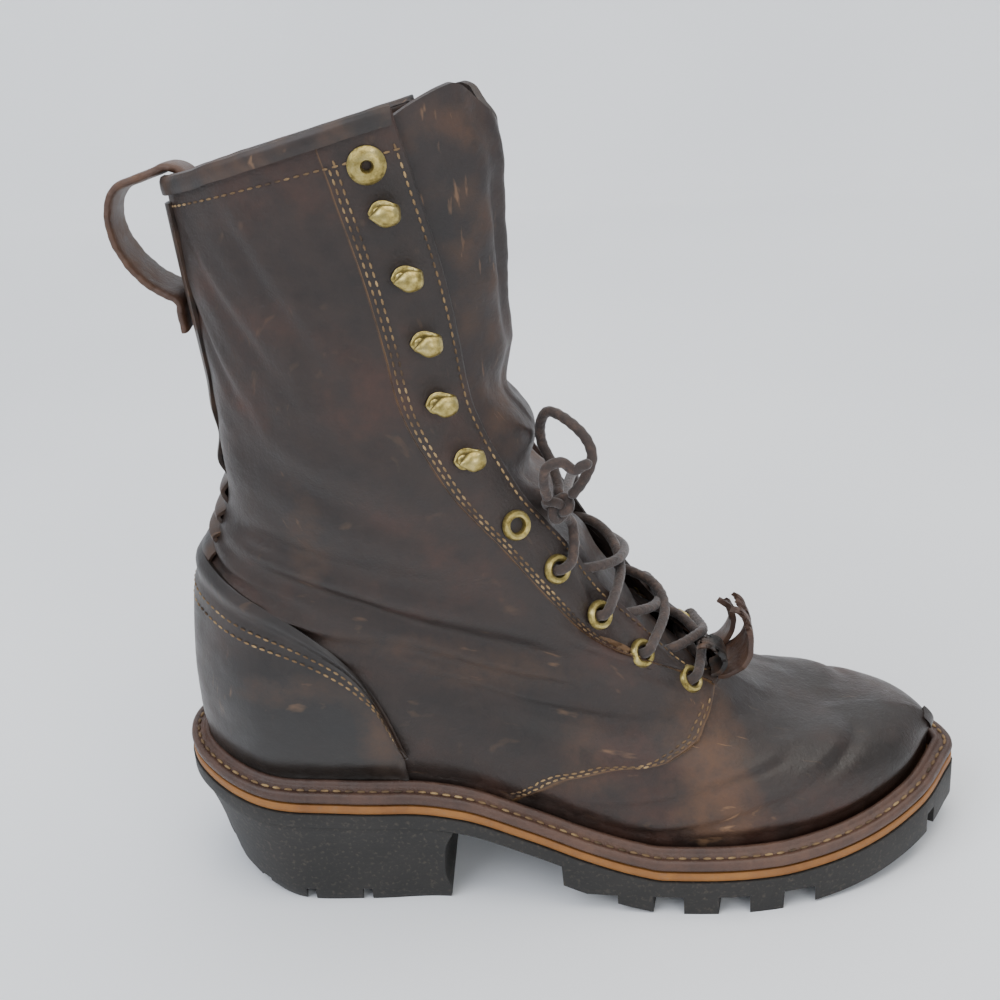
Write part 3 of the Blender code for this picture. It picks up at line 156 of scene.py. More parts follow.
# %% Sizes
SOLE_LENGTH, BALL_WIDTH, HEEL_WIDTH = 288 * MM, 103 * MM, 82 * MM
HEEL_HEIGHT, HEEL_CURL, FORE_THICKNESS = 41 * MM, 9 * MM, 14 * MM
TOE_SPRING, TOE_TURN, PLATE_THICKNESS = 11 * MM, 7 * MM, 5.5 * MM
MIDSOLE_THICKNESS, WELT_WIDTH = 3.5 * MM, 8.5 * MM
CLEARANCE, WALL, QUARTER_STEP, FACING_STEP = 0.3 * MM, 1.8 * MM, 1.2 * MM, 0.7 * MM
TOE_BOX_HEIGHT, SHAFT_HEIGHT, COLLAR_RISE = 26.5 * MM, 214 * MM, 29 * MM
ANKLE_WIDTH, COLLAR_WIDTH, THROAT_WIDTH = 80 * MM, 70 * MM, 65 * MM
SHAFT_LEAN, INSTEP_FULLNESS, COLLAR_TILT = 2 * MM, 0.4, 14 * MM
VAMP_POINT = 0.46
FEATHER_INSET = WELT_WIDTH + QUARTER_STEP + CLEARANCE
HEEL_OUTLINE = [(0.025, 0.50, 0.50), (0.105, 0.93, 0.93), (0.220, 1.00, 1.00), (0.330, 0.99, 0.93)]
BALL_OUTLINE = [
    (0.450, 0.86, 0.68), (0.580, 0.95, 0.80), (0.700, 0.98, 1.00), (0.800, 0.88, 1.02),
    (0.880, 0.69, 0.92), (0.945, 0.40, 0.72), (0.985, 0.06, 0.42),
]
SOLE_PROFILE = np.array([
    (0.00, 1.00, 1.00, 0.00), (0.07, 1.00, 0.50, 0.00), (0.16, 1.00, 0.12, 0.00),
    (0.28, 0.97, 0.00, 0.00), (0.36, 0.86, 0.00, 0.00), (0.44, 0.58, 0.00, 0.00),
    (0.52, 0.25, 0.00, 0.00), (0.58, 0.06, 0.00, 0.00), (0.61, 0.00, 0.00, 0.00),
    (0.75, 0.00, 0.00, 0.00), (0.81, 0.00, 0.00, 0.12), (0.87, 0.00, 0.00, 0.34),
    (0.94, 0.00, 0.00, 0.70), (1.00, 0.00, 0.00, 1.00),
])
LEVEL_NAMES = "place back front back_rise front_toe front_rise follow heel fore round gap lean".split()
LEVELS = np.array([
    (0.00, 0.000, 1.000, 0.000, 0.00, 0.000, 1.00, 1.00, 1.00, 0.00, 0.00, 0.00),
    (0.05, 0.000, 1.000, 0.035, 0.28, 0.000, 1.00, 1.00, 1.00, 0.00, 0.00, 0.00),
    (0.13, -0.004, 1.006, 0.090, 0.50, 0.000, 0.95, 1.10, 1.08, 0.00, 0.00, 0.00),
    (0.21, -0.003, 0.992, 0.159, 0.72, 0.000, 0.85, 1.12, 1.06, 0.00, 0.00, 0.00),
    (0.29, 0.003, 0.940, 0.229, 0.90, 0.000, 0.62, 1.08, 0.96, 0.03, 0.00, 0.00),
    (0.36, 0.012, 0.868, 0.300, 0.97, 0.000, 0.42, 0.98, 0.80, 0.10, 0.00, 0.00),
    (0.42, 0.024, 0.785, 0.364, 1.00, 0.018, 0.22, 0.92, 0.73, 0.22, 0.00, 0.00),
    (0.46, 0.042, 0.718, 0.402, 1.00, 0.070, 0.10, 0.90, 0.72, 0.36, 0.00, 0.00),
    (0.49, 0.052, 0.682, 0.424, 1.00, 0.104, 0.06, 0.90, 0.73, 0.46, 0.42, 0.02),
    (0.54, 0.066, 0.622, 0.460, 1.00, 0.172, 0.00, 0.90, 0.75, 0.62, 0.48, 0.04),
    (0.62, 0.080, 0.536, 0.533, 1.00, 0.315, 0.00, 0.90, 0.80, 0.85, 0.62, 0.12),
    (0.70, 0.078, 0.484, 0.617, 1.00, 0.445, 0.00, 0.90, 0.80, 1.00, 0.80, 0.24),
    (0.80, 0.070, 0.449, 0.738, 1.00, 0.617, 0.00, 0.90, 0.80, 1.00, 0.82, 0.46),
    (0.90, 0.060, 0.456, 0.869, 1.00, 0.806, 0.00, 0.90, 0.80, 1.00, 0.91, 0.74),
    (1.00, 0.052, 0.461, 1.000, 1.00, 1.000, 0.00, 0.90, 0.80, 1.00, 1.00, 1.00),
])
QUARTER_EDGE = np.array([
    (0.395, 0.00), (0.435, 0.42), (0.490, 0.98), (0.550, 1.32), (0.620, 1.52),
    (0.658, 1.66), (0.676, 1.90), (0.690, 2.25), (0.715, 2.75),
])


# %% The last as functions
def ease(value):
    """0 below 0, 1 above 1, and a soft S between."""
    t = np.clip(value, 0.0, 1.0)
    return t * t * (3 - 2 * t)


def unit(directions):
    """Directions at a length of one."""
    return directions / np.linalg.norm(directions, axis=-1, keepdims=True)


def run_along(points):
    """How far each point of a line lies from its start, along the line."""
    return np.concatenate([[0], np.cumsum(np.linalg.norm(np.diff(points, axis=0), axis=1))])


def between_rows(x, y, at):
    """Values between the rows of a table, with a slope that never overshoots."""
    h = np.diff(x)
    steps = np.diff(y) / h
    slope = np.concatenate([steps[:1], np.zeros(len(x) - 2), steps[-1:]])
    product, total = steps[:-1] * steps[1:], steps[:-1] + steps[1:]
    same_way = product > 0
    slope[1:-1][same_way] = 2 * product[same_way] / total[same_way]
    at = np.clip(at, x[0], x[-1])
    i = np.clip(np.searchsorted(x, at) - 1, 0, len(x) - 2)
    t = (at - x[i]) / h[i]
    start = y[i] * (1 + 2 * t) * (1 - t) ** 2 + h[i] * slope[i] * t * (1 - t) ** 2
    return start + y[i + 1] * t**2 * (3 - 2 * t) + h[i] * slope[i + 1] * t**2 * (t - 1)


def smooth_line(points, count):
    """Points of a smooth open line through the given ones, evenly spread over its length."""
    table = np.array(points, float)
    ends = np.vstack([2 * table[0] - table[1], table, 2 * table[-1] - table[-2]])
    dense = []
    for i in range(len(table) - 1):
        a, b, c, d = ends[i : i + 4]
        for t in np.linspace(0, 1, 24, endpoint=False):
            dense.append(
                0.5 * (2 * b + (c - a) * t + (2 * a - 5 * b + 4 * c - d) * t**2)
                + 0.5 * (3 * b - a - 3 * c + d) * t**3
            )
    dense = np.array(dense + [table[-1]])
    run = run_along(dense)
    places = np.linspace(0, run[-1], count)
    return np.stack([np.interp(places, run, column) for column in dense.T], axis=1)


def closed_outline():
    """The sole's plan as a dense closed line with its place c: 0 at the heel, 1 at the toe."""
    sides = []
    for column, sign in ((1, -1), (2, 1)):
        half = [(0.0, 0.0)] + [(r[0] * SOLE_LENGTH, sign * r[column] * HEEL_WIDTH / 2) for r in HEEL_OUTLINE]
        half += [(r[0] * SOLE_LENGTH, sign * r[column] * BALL_WIDTH / 2) for r in BALL_OUTLINE]
        sides.append(half + [(SOLE_LENGTH, TOE_TURN)])
    ring = sides[0][::-1] + sides[1][1:]
    dense = smooth_line(ring[-4:-1] + ring + ring[1:4], 2400)
    apart = np.linalg.norm(dense - np.array(ring[0]), axis=1)
    first, last = int(np.argmin(apart[:1200])), 1200 + int(np.argmin(apart[1200:]))
    line = dense[first : last + 1]
    line[0] = line[-1] = ring[0]
    back = int(np.argmin(np.linalg.norm(line, axis=1)))
    return line, np.concatenate([np.linspace(-1, 0, back + 1), np.linspace(0, 1, len(line) - back)[1:]])


OUTLINE, OUTLINE_PLACE = closed_outline()


def around(c):
    """A place that has run past the toe, brought back from the other side."""
    return np.where(c > 1, c - 2, np.where(c < -1, c + 2, c))


def on_outline(c):
    """Point of the sole's outline at place c."""
    return np.stack([np.interp(around(c), OUTLINE_PLACE, OUTLINE[:, k]) for k in (0, 1)], -1)


def plan(c, inset=0.0):
    """Plan point at place c, moved inwards by inset."""
    c = np.asarray(c, float)
    along = unit(on_outline(c + 0.004) - on_outline(c - 0.004))
    return on_outline(c) + np.stack([along[..., 1], -along[..., 0]], -1) * np.asarray(inset)[..., None]


SOLE_X = np.linspace(0, 1, 721)
SOLE_Z = (
    FORE_THICKNESS
    + (HEEL_HEIGHT - FORE_THICKNESS) * between_rows(SOLE_PROFILE[:, 0], SOLE_PROFILE[:, 1], SOLE_X)
    + HEEL_CURL * between_rows(SOLE_PROFILE[:, 0], SOLE_PROFILE[:, 2], SOLE_X)
    + TOE_SPRING * between_rows(SOLE_PROFILE[:, 0], SOLE_PROFILE[:, 3], SOLE_X)
)


def sole_line(x):
    """Height of the outsole's top at a place along the sole."""
    return np.interp(np.asarray(x) / SOLE_LENGTH, SOLE_X, SOLE_Z)


def seat_line(x):
    """Height of the midsole's top."""
    return sole_line(x) + CLEARANCE + MIDSOLE_THICKNESS


LEVEL_FINE = np.linspace(0, 1, 2001)
LEVEL_TABLE = {
    name: between_rows(LEVELS[:, 0], LEVELS[:, k], LEVEL_FINE) for k, name in enumerate(LEVEL_NAMES)
}


def last_point(level, c):
    """Point on the skin of the last, before the throat is cut out of it."""
    level, c = np.broadcast_arrays(np.asarray(level, float), around(np.asarray(c, float)))
    row = {name: np.interp(level, LEVEL_FINE, column) for name, column in LEVEL_TABLE.items()}
    back_foot, front_foot = plan(0.0, FEATHER_INSET), plan(1.0, FEATHER_INSET)
    length = front_foot[0] - back_foot[0]
    spot = plan(c, np.full(c.shape, FEATHER_INSET))
    share = (spot[..., 0] - back_foot[0]) / length
    middle = front_foot[1] * ease((share - 0.55) / 0.45)
    wide = row["heel"] + (row["fore"] - row["heel"]) * ease((share - 0.25) / 0.40)
    angle = np.pi * np.abs(c)
    turned = share + ((1 - np.cos(angle)) / 2 - share) * row["round"]
    half = (ANKLE_WIDTH + (COLLAR_WIDTH - ANKLE_WIDTH) * ease((level - 0.7) / 0.3)) / 2
    y_foot = middle * (1 - row["round"]) + (spot[..., 1] - middle) * wide
    full = 1 - INSTEP_FULLNESS * ease((0.78 - level) / 0.14)
    y_shaft = np.sign(c) * half * np.clip(np.sin(angle), 0, None) ** full
    back = back_foot[0] + row["back"] * length
    front = back_foot[0] + row["front"] * length
    x = back + (front - back) * turned
    y = y_foot + (y_shaft - y_foot) * row["round"]
    seat_back, seat_front = seat_line(back_foot[0]), seat_line(front_foot[0])
    back_z = seat_back + row["back_rise"] * SHAFT_HEIGHT
    left = seat_back + SHAFT_HEIGHT + COLLAR_RISE - seat_front - TOE_BOX_HEIGHT
    front_z = seat_front + row["front_toe"] * TOE_BOX_HEIGHT + row["front_rise"] * left
    wave = seat_line(back_foot[0] + share * length) - (seat_back + (seat_front - seat_back) * share)
    z = back_z + (front_z - back_z) * turned + row["follow"] * wave + CLEARANCE
    return np.stack([x, y + SHAFT_LEAN * row["lean"], z - COLLAR_TILT * row["lean"] * y / COLLAR_WIDTH], -1)


NORMAL_STEP = 0.012


def last_normal(level, c):
    """Outward direction of the skin."""
    step = NORMAL_STEP
    level, c = np.broadcast_arrays(np.asarray(level, float), np.asarray(c, float))
    sideways = last_point(level, c + step) - last_point(level, c - step)
    upwards = last_point(np.clip(level + step, 0, 1), c) - last_point(np.clip(level - step, 0, 1), c)
    return unit(-np.cross(sideways, upwards))


def skin(level, c, lift=0.0):
    """Point over the skin by a lift."""
    return last_point(level, c) + last_normal(level, c) * np.asarray(lift, float)[..., None]


def throat_table():
    """Half of the throat's opening as a place c, for a row of levels."""
    levels = np.concatenate([[VAMP_POINT], np.linspace(VAMP_POINT + 0.01, 1, 60)])
    tries = np.linspace(1.0, 0.5, 400)
    edges = []
    for level in levels:
        gap = np.interp(level, LEVEL_FINE, LEVEL_TABLE["gap"]) * THROAT_WIDTH / 2
        apart = np.linalg.norm(last_point(level, tries) - last_point(level, -tries), axis=1) / 2
        edges.append(tries[np.argmax(apart >= gap)] if level > VAMP_POINT else 1.0)
    return levels, np.array(edges)


THROAT_LEVELS, THROAT_EDGES = throat_table()


def throat_edge(level):
    """Place c of the throat's edge, which is 1 where the upper is whole."""
    return np.where(level <= VAMP_POINT, 1.0, np.interp(level, THROAT_LEVELS, THROAT_EDGES))


def behind_edge(level, inset):
    """Place c that lies behind the throat's edge by an inset along its level."""
    tries = np.linspace(float(throat_edge(level)), 0.3, 240)
    return float(np.interp(inset, run_along(last_point(level, tries)), tries))


def quarter_place(level):
    """Place c where a level passes from the quarter to the vamp."""
    tries = np.linspace(0.1, 0.97, 600)
    points = last_point(level, tries)
    rise = np.interp(points[:, 0] / SOLE_LENGTH, QUARTER_EDGE[:, 0], QUARTER_EDGE[:, 1], left=-1)
    under = points[:, 2] - seat_line(points[:, 0]) < rise * TOE_BOX_HEIGHT
    return float(tries[np.argmax(under)]) if under.any() else 0.97


FACING_WIDTH = 25 * MM
STEP_LEVELS = np.linspace(0, 1, 181)
STEP_PLACES = np.array([
    quarter_place(level) if level <= VAMP_POINT
    else quarter_place(VAMP_POINT) + (behind_edge(level, FACING_WIDTH) - quarter_place(VAMP_POINT))
    * float(ease((level - VAMP_POINT) / 0.1))
    for level in STEP_LEVELS
])
KEY = 0.56


def place_of(level, s):
    """Place c of a column s of the upper: 0 at the back, KEY on the panel's edge, 1 in front."""
    step, edge = np.interp(level, STEP_LEVELS, STEP_PLACES), throat_edge(level)
    size = np.abs(s)
    inner = size / KEY * step
    outer = step + (size - KEY) / (1 - KEY) * (edge - step)
    return np.sign(s) * np.where(size <= KEY, inner, outer)


print("the last is", round(float(last_point(1.0, 1.0)[2] / MM)), "mm high in front")

# %% [markdown]
# ## Making a piece from a grid
# Leather is cut flat and pulled over the last. A flat grid does the same: it is added as a
# primitive, and each of its corners is moved to its place on the boot. The grid keeps its flat
# coordinates as a UV map, so seams and stitches can be drawn where the pattern has them.


# %% Piece helpers
def grid_piece(name, us, vs, place, flip=False):
    """A primitive grid whose corners are moved onto a surface. Its UV map holds us and vs."""
    bpy.ops.object.select_all(action="DESELECT")
    bpy.ops.mesh.primitive_grid_add(x_subdivisions=len(us) - 1, y_subdivisions=len(vs) - 1, size=2)
    piece = bpy.context.object
    piece.name = piece.data.name = name
    mesh = piece.data
    flat = np.zeros(len(mesh.vertices) * 3)
    mesh.vertices.foreach_get("co", flat)
    flat = flat.reshape(-1, 3)
    u = np.asarray(us)[np.rint((flat[:, 0] + 1) / 2 * (len(us) - 1)).astype(int)]
    v = np.asarray(vs)[np.rint((flat[:, 1] + 1) / 2 * (len(vs) - 1)).astype(int)]
    mesh.vertices.foreach_set("co", np.asarray(place(u, v), float).ravel())
    corners = np.zeros(len(mesh.loops), int)
    mesh.loops.foreach_get("vertex_index", corners)
    mesh.uv_layers.active.data.foreach_set("uv", np.stack([u, v], -1)[corners].ravel())
    if flip:
        bpy.ops.object.mode_set(mode="EDIT")
        bpy.ops.mesh.flip_normals()
        bpy.ops.object.mode_set(mode="OBJECT")
    mesh.update()
    return piece


def weld(piece, distance=0.05 * MM):
    """Joins corners that lie on each other, where a grid closes on itself."""
    only(piece)
    bpy.ops.object.mode_set(mode="EDIT")
    bpy.ops.mesh.select_all(action="SELECT")
    bpy.ops.mesh.remove_doubles(threshold=distance)
    bpy.ops.object.mode_set(mode="OBJECT")


def outwards(piece):
    """Turns the faces of a closed piece outwards."""
    only(piece)
    bpy.ops.object.mode_set(mode="EDIT")
    bpy.ops.mesh.select_all(action="SELECT")
    bpy.ops.mesh.normals_make_consistent(inside=False)
    bpy.ops.object.mode_set(mode="OBJECT")


def close_ends(piece):
    """Fills the open ends of a tube or a block, and turns its faces outwards."""
    only(piece)
    bpy.ops.object.mode_set(mode="EDIT")
    bpy.ops.mesh.select_all(action="SELECT")
    bpy.ops.mesh.fill_holes(sides=0)
    bpy.ops.object.mode_set(mode="OBJECT")
    outwards(piece)


def sweep(name, line, across, up, section, sides, merge):
    """A closed form along a line. section(u, k, turn) gives its reach across and up at point k."""
    def place(u, v):
        k = np.rint(u * (len(line) - 1)).astype(int)
        wide, deep = section(u, k, v * 2 * np.pi)
        return line[k] + across[k] * wide[:, None] + up[k] * deep[:, None]

    piece = grid_piece(name, np.linspace(0, 1, len(line)), np.linspace(0, 1, sides + 1), place)
    weld(piece, merge)
    close_ends(piece)
    return piece


def only(piece):
    """Makes a piece the only one selected."""
    bpy.ops.object.select_all(action="DESELECT")
    piece.select_set(True)
    bpy.context.view_layer.objects.active = piece


def change(piece, kind, **settings):
    """Adds a modifier with its settings and applies it."""
    only(piece)
    step = piece.modifiers.new(kind.title(), kind)
    for name, value in settings.items():
        setattr(step, name, value)
    bpy.ops.object.modifier_apply(modifier=step.name)


def thicken(piece, thickness, **settings):
    """Gives a sheet its thickness, inwards."""
    change(piece, "SOLIDIFY", thickness=thickness, offset=-1.0, **settings)


def soften(piece, width, angle):
    """Rounds the edges that are sharper than an angle."""
    change(piece, "BEVEL", width=width, segments=2, limit_method="ANGLE", angle_limit=math.radians(angle))


def dress(piece, finish, slot, *nodes, angle=40):
    """Gives a piece its finish and its place in the frame, whose origin is under the heel."""
    piece.data.transform(Matrix.Translation((-HEEL_REST, 0, 0)))
    if finish:
        piece.data.materials.clear()
        piece.data.materials.append(finish)
    only(piece)
    bpy.ops.object.shade_smooth_by_angle(angle=math.radians(angle))
    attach(piece, "root")
    if nodes:
        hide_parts(*nodes)
    print(piece.name, "has", len(piece.data.polygons), "faces")
    return piece


# %% [markdown]
# ## Floor and light
# The boot stands on a white cloth before a pale wall, under soft daylight from above. A wide
# sheet that curves up behind the boot gives both, and large area lights keep the shadows soft.

# %% Floor, wall and lights
def studio(u, v):
    """The cloth on the table and its curve up the wall."""
    y = np.where(v < 0.5, -1.2 + v * 4.0, 0.8 + 0.25 * np.sin((v - 0.5) * np.pi))
    z = np.where(v < 0.5, 0.0, (v - 0.5) * 3.2 * ease((v - 0.5) * 5))
    return np.stack([(u - 0.5) * 5, y, z], -1)


floor = grid_piece("floor", np.linspace(0, 1, 3), np.linspace(0, 1, 61), studio)
floor.data.materials.append(
    noise_finish("white_cotton_cloth", {"Scale": 3.0}, [(0.3, "#eceef1"), (0.7, "#f4f6f8")], Roughness=0.9)
)
only(floor)
bpy.ops.object.shade_smooth()
world = bpy.data.worlds.new("daylight")
bpy.context.scene.world = world
world.use_nodes = True
world.node_tree.nodes["Background"].inputs["Color"].default_value = linear("#e6ebf2")
world.node_tree.nodes["Background"].inputs["Strength"].default_value = 0.75
LIGHTS = [
    ("window_light", (-0.75, -0.75, 1.25), 1.1, 15, "#f2f6ff"),
    ("ceiling_light", (0.35, -0.05, 1.6), 1.3, 17, "#fffaf2"),
    ("front_light", (0.9, -1.3, 0.7), 0.9, 7, "#ffffff"),
]
AIM = Vector((0.08, 0.0, 0.12))
for name, place, size, power, colour in LIGHTS:
    light = bpy.data.objects.new(name, bpy.data.lights.new(name, "AREA"))
    bpy.context.scene.collection.objects.link(light)
    light.data.size = size
    light.data.energy = power
    light.data.color = linear(colour)[:3]
    light.location = place
    light.rotation_euler = (AIM - Vector(place)).to_track_quat("-Z", "Y").to_euler()
print("lights:", len(LIGHTS))

# %% [markdown]
# ## Oiled leather
# The upper is full-grain cowhide, stuffed with oil and wax. Its grain is fine, it is nearly black
# where it is polished, it goes red-brown where the wax has worn away, and scuffs show the tan
# flesh under it. Noise at three sizes gives the blotches, the mottling and the grain. The UV map
# says how far a spot is from a panel's edge, where the cut leather shows tan.


# %% Leather finish
def leather(name, dark, mid, red, gloss=0.0, seams=False, grain=1.0):
    """Oiled full-grain leather with worn blotches, wrinkles, scratches and, on request, seams."""
    made, tree, shader, spot = begin(name)
    wear, shine = (add(tree, "Attribute", attribute_name=word).outputs["Fac"] for word in ("wear", "shine"))
    blotch = add(tree, "TexNoise", {"Vector": spot, "Scale": 17.0, "Detail": 6.0, "Roughness": 0.62})
    mottle = add(tree, "TexNoise", {"Vector": spot, "Scale": 120.0, "Detail": 8.0, "Roughness": 0.7})
    base = add(tree, "ValToRGB", {"Fac": blotch}, [(0.32, dark), (0.52, mid), (0.72, red)])
    speck = add(tree, "ValToRGB", {"Fac": mottle}, [(0.35, 0.72), (0.68, 1.25)])
    colour = add(tree, "Mix", {0: 1.0, 6: base, 7: speck}, data_type="RGBA", blend_type="MULTIPLY")
    # rubbed brown where the share called wear says so, and blackened by polish where shine does
    rub = add(tree, "Math", {0: wear, 1: mottle}, operation="MULTIPLY")
    rub = add(tree, "MapRange", {0: rub, 1: 0.12, 2: 0.62, 3: 0.0, 4: 0.85})
    colour = add(tree, "Mix", {0: rub, 6: colour, 7: linear("#5f4431")}, data_type="RGBA")
    colour = add(tree, "Mix", {0: shine, 6: colour, 7: linear("#17130f")}, data_type="RGBA")
    # scratches are a noise drawn out into long thin marks
    lines = add(tree, "Mapping", {"Vector": spot, "Rotation": (0.3, 0.5, 0.2), "Scale": (60, 700, 90)})
    scratch = add(tree, "TexNoise", {"Vector": lines, "Scale": 1.0, "Detail": 3.0})
    mark = add(tree, "MapRange", {0: scratch, 1: 0.66, 2: 0.74, 3: 0.0, 4: 1.0})
    shown = add(tree, "Math", {0: wear, 1: 0.8, 2: 0.10}, operation="MULTIPLY_ADD")
    mark = add(tree, "Math", {0: mark, 1: shown}, operation="MULTIPLY")
    colour = add(tree, "Mix", {0: mark, 6: colour, 7: linear("#8d6b4c")}, data_type="RGBA")
    if seams:
        # tan thread and cut leather along the panel's edge, broken where dirt has filled it
        flat = add(tree, "TexCoord").outputs["UV"]
        across = add(tree, "SeparateXYZ", {"Vector": flat})
        size = add(tree, "Math", {0: across}, operation="ABSOLUTE")
        off = add(tree, "Math", {0: size, 1: SEAM_PLACE}, operation="SUBTRACT")
        off = add(tree, "Math", {0: off}, operation="ABSOLUTE")
        line = add(tree, "MapRange", {0: off, 1: 0.0, 2: SEAM_WIDTH, 3: 1.0, 4: 0.0})
        broken = add(tree, "MapRange", {0: mottle, 1: 0.36, 2: 0.55, 3: 0.15, 4: 1.0})
        line = add(tree, "Math", {0: line, 1: broken}, operation="MULTIPLY")
        colour = add(tree, "Mix", {0: line, 6: colour, 7: linear("#6f5233")}, data_type="RGBA")
    # the bump adds up pores, small folds and mottling, and the scratches are cut out of it
    pores = add(tree, "TexVoronoi", {"Vector": spot, "Scale": 1000.0 / grain}, feature="SMOOTH_F1")
    folds = add(tree, "TexNoise", {"Vector": spot, "Scale": 260.0, "Detail": 6.0, "Roughness": 0.65,
                                   "Distortion": 0.6})
    total = add(tree, "Math", {0: mark, 1: -0.35}, operation="MULTIPLY")
    for layer, share in ((pores, 0.22), (folds, 0.75), (mottle, 0.8)):
        total = add(tree, "Math", {0: layer, 1: share, 2: total}, operation="MULTIPLY_ADD")
    bump = add(tree, "Bump", {"Height": total, "Strength": 0.55 - 0.25 * gloss, "Distance": 0.9 * MM})
    rough = add(tree, "MapRange", {0: mottle, 1: 0.3, 2: 0.7, 3: 0.42, 4: 0.62})
    for layer, share in ((shine, -0.20), (rub, 0.22)):
        rough = add(tree, "Math", {0: layer, 1: share, 2: rough}, operation="MULTIPLY_ADD")
    feed(tree, shader, {
        "Base Color": colour, "Normal": bump, "Roughness": rough, "Specular IOR Level": 0.45,
        "Coat Weight": 0.10 + 0.2 * gloss, "Coat Roughness": 0.38,
    })
    return made


SEAM_PLACE, SEAM_WIDTH = KEY + 0.0008, 0.0045
UPPER_LEATHER = leather("oiled_cowhide", "#1d1714", "#2b201b", "#45291e", seams=True)
TRIM_LEATHER = leather("polished_cowhide", "#151210", "#1f1916", "#33241d", gloss=0.9)
SOFT_LEATHER = leather("soft_tongue_leather", "#1f1917", "#2b211e", "#3f2c24", grain=1.3)
print("leather finishes:", UPPER_LEATHER.name, TRIM_LEATHER.name, SOFT_LEATHER.name)


# %% [markdown]
# ## The upper
# Vamp, quarters and facings are one hollow wall. A fold in old leather is a soft trough with a
# ridge beside it, so each main crease of the photograph is placed as a line on the
# pattern, with its width and depth. The quarter's cut edge is a real step in the wall.


# %% Creases
ACROSS, ALONG_LEVEL = 190.0, 235.0
CREASE_SCALE = 1.7
CREASES = [
    # the flex of the toes, across the vamp
    (-1, [(0.66, 0.060), (0.73, 0.150), (0.82, 0.250), (0.93, 0.330)], 3.4, 0.7),
    (1, [(0.65, 0.060), (0.72, 0.150), (0.81, 0.250), (0.92, 0.330)], 3.4, 0.7),
    (-1, [(0.62, 0.130), (0.67, 0.220), (0.76, 0.320)], 2.8, 0.5),
    (1, [(0.61, 0.130), (0.66, 0.220), (0.74, 0.320)], 2.8, 0.5),
    # the bend of the ankle, from the facing back to the stay
    (-1, [(0.96, 0.600), (0.80, 0.560), (0.66, 0.545), (0.58, 0.560)], 5.0, 2.0),
    (-1, [(0.50, 0.520), (0.38, 0.500), (0.26, 0.485), (0.12, 0.490)], 5.5, 1.9),
    (-1, [(0.46, 0.470), (0.34, 0.440), (0.22, 0.430)], 4.2, 1.2),
    (-1, [(0.52, 0.590), (0.40, 0.575), (0.24, 0.560), (0.06, 0.565)], 4.5, 1.2),
    (1, [(0.94, 0.590), (0.76, 0.552), (0.60, 0.540), (0.42, 0.510)], 5.0, 2.0),
    (1, [(0.46, 0.480), (0.30, 0.455), (0.14, 0.470)], 4.6, 1.5),
    (1, [(0.50, 0.560), (0.36, 0.560), (0.10, 0.545)], 4.5, 1.2),
    # folds over the heel, above the counter
    (0, [(0.22, 0.400), (0.0, 0.412), (-0.24, 0.392)], 3.0, 1.2),
    (0, [(0.20, 0.446), (0.0, 0.452), (-0.20, 0.440)], 2.8, 1.0),
    # long soft folds of the shaft
    (-1, [(0.16, 0.930), (0.24, 0.860), (0.34, 0.790)], 3.2, 0.7),
    (-1, [(0.08, 0.880), (0.16, 0.810), (0.24, 0.750)], 2.8, 0.6),
    (-1, [(0.30, 0.960), (0.36, 0.880), (0.44, 0.800)], 3.4, 0.6),
    (-1, [(0.20, 0.700), (0.34, 0.660), (0.48, 0.650)], 6.0, 1.1),
    (1, [(0.14, 0.920), (0.26, 0.830), (0.36, 0.740)], 3.6, 0.8),
    (1, [(0.42, 0.940), (0.46, 0.820), (0.44, 0.700)], 5.0, 0.9),
]


def crease_lift(level, s, rows):
    """Height of the troughs and ridges at spots of the pattern, in metres."""
    lift = np.zeros(np.shape(level))
    for side, points, width, depth in rows:
        line = smooth_line(points, 40)
        mirrored = np.where(np.sign(s) == side, np.abs(s), -np.abs(s)) if side else s
        gap = np.full(np.shape(level), 1e9)
        above = np.zeros(np.shape(level))
        for (s0, l0), (s1, l1) in zip(line, line[1:]):
            dx, dy = (s1 - s0) * ACROSS, (l1 - l0) * ALONG_LEVEL
            px, py = (mirrored - s0) * ACROSS, (level - l0) * ALONG_LEVEL
            t = np.clip((px * dx + py * dy) / (dx * dx + dy * dy), 0, 1)
            far = np.hypot(px - t * dx, py - t * dy)
            closer = far < gap
            gap = np.where(closer, far, gap)
            above = np.where(closer, np.sign(dx * py - dy * px), above)
        end = np.minimum(
            np.hypot((mirrored - line[0][0]) * ACROSS, (level - line[0][1]) * ALONG_LEVEL),
            np.hypot((mirrored - line[-1][0]) * ACROSS, (level - line[-1][1]) * ALONG_LEVEL),
        )
        fade = ease(end / (width * 4)) * 0.75 + 0.25
        trough = np.exp(-((gap / width) ** 2))
        ridge = np.exp(-(((gap - 1.9 * width) / (1.1 * width)) ** 2))
        lift += CREASE_SCALE * depth * MM * fade * (0.55 * ridge * (0.6 + 0.4 * above) - trough)
    return lift


def waves(spots, size, seed):
    """Gentle unevenness made of a few turned sine waves, the same on each run."""
    draw = np.random.default_rng(seed)
    total = np.zeros(len(spots))
    for k in range(3):
        for _ in range(5):
            way = draw.normal(size=3)
            way *= 2 * np.pi / (size * MM) * 1.8**k / np.linalg.norm(way)
            total += np.sin(spots @ way + draw.uniform(0, 6.3)) / 1.7**k / 5
    return total


def set_shares(piece, **shares):
    """Stores shares from 0 to 1 on the corners of a piece, for its finish to read."""
    for name, values in shares.items():
        layer = piece.data.attributes.new(name, "FLOAT", "POINT")
        layer.data.foreach_set("value", np.clip(values, 0, 1).astype(np.float32))


def wear_evenly(piece, base, swing, size, seed):
    """Wear that sways gently about a base, and no polish."""
    spots = corners_of(piece)
    set_shares(piece, wear=base + swing * waves(spots, size, seed), shine=np.zeros(len(spots)))


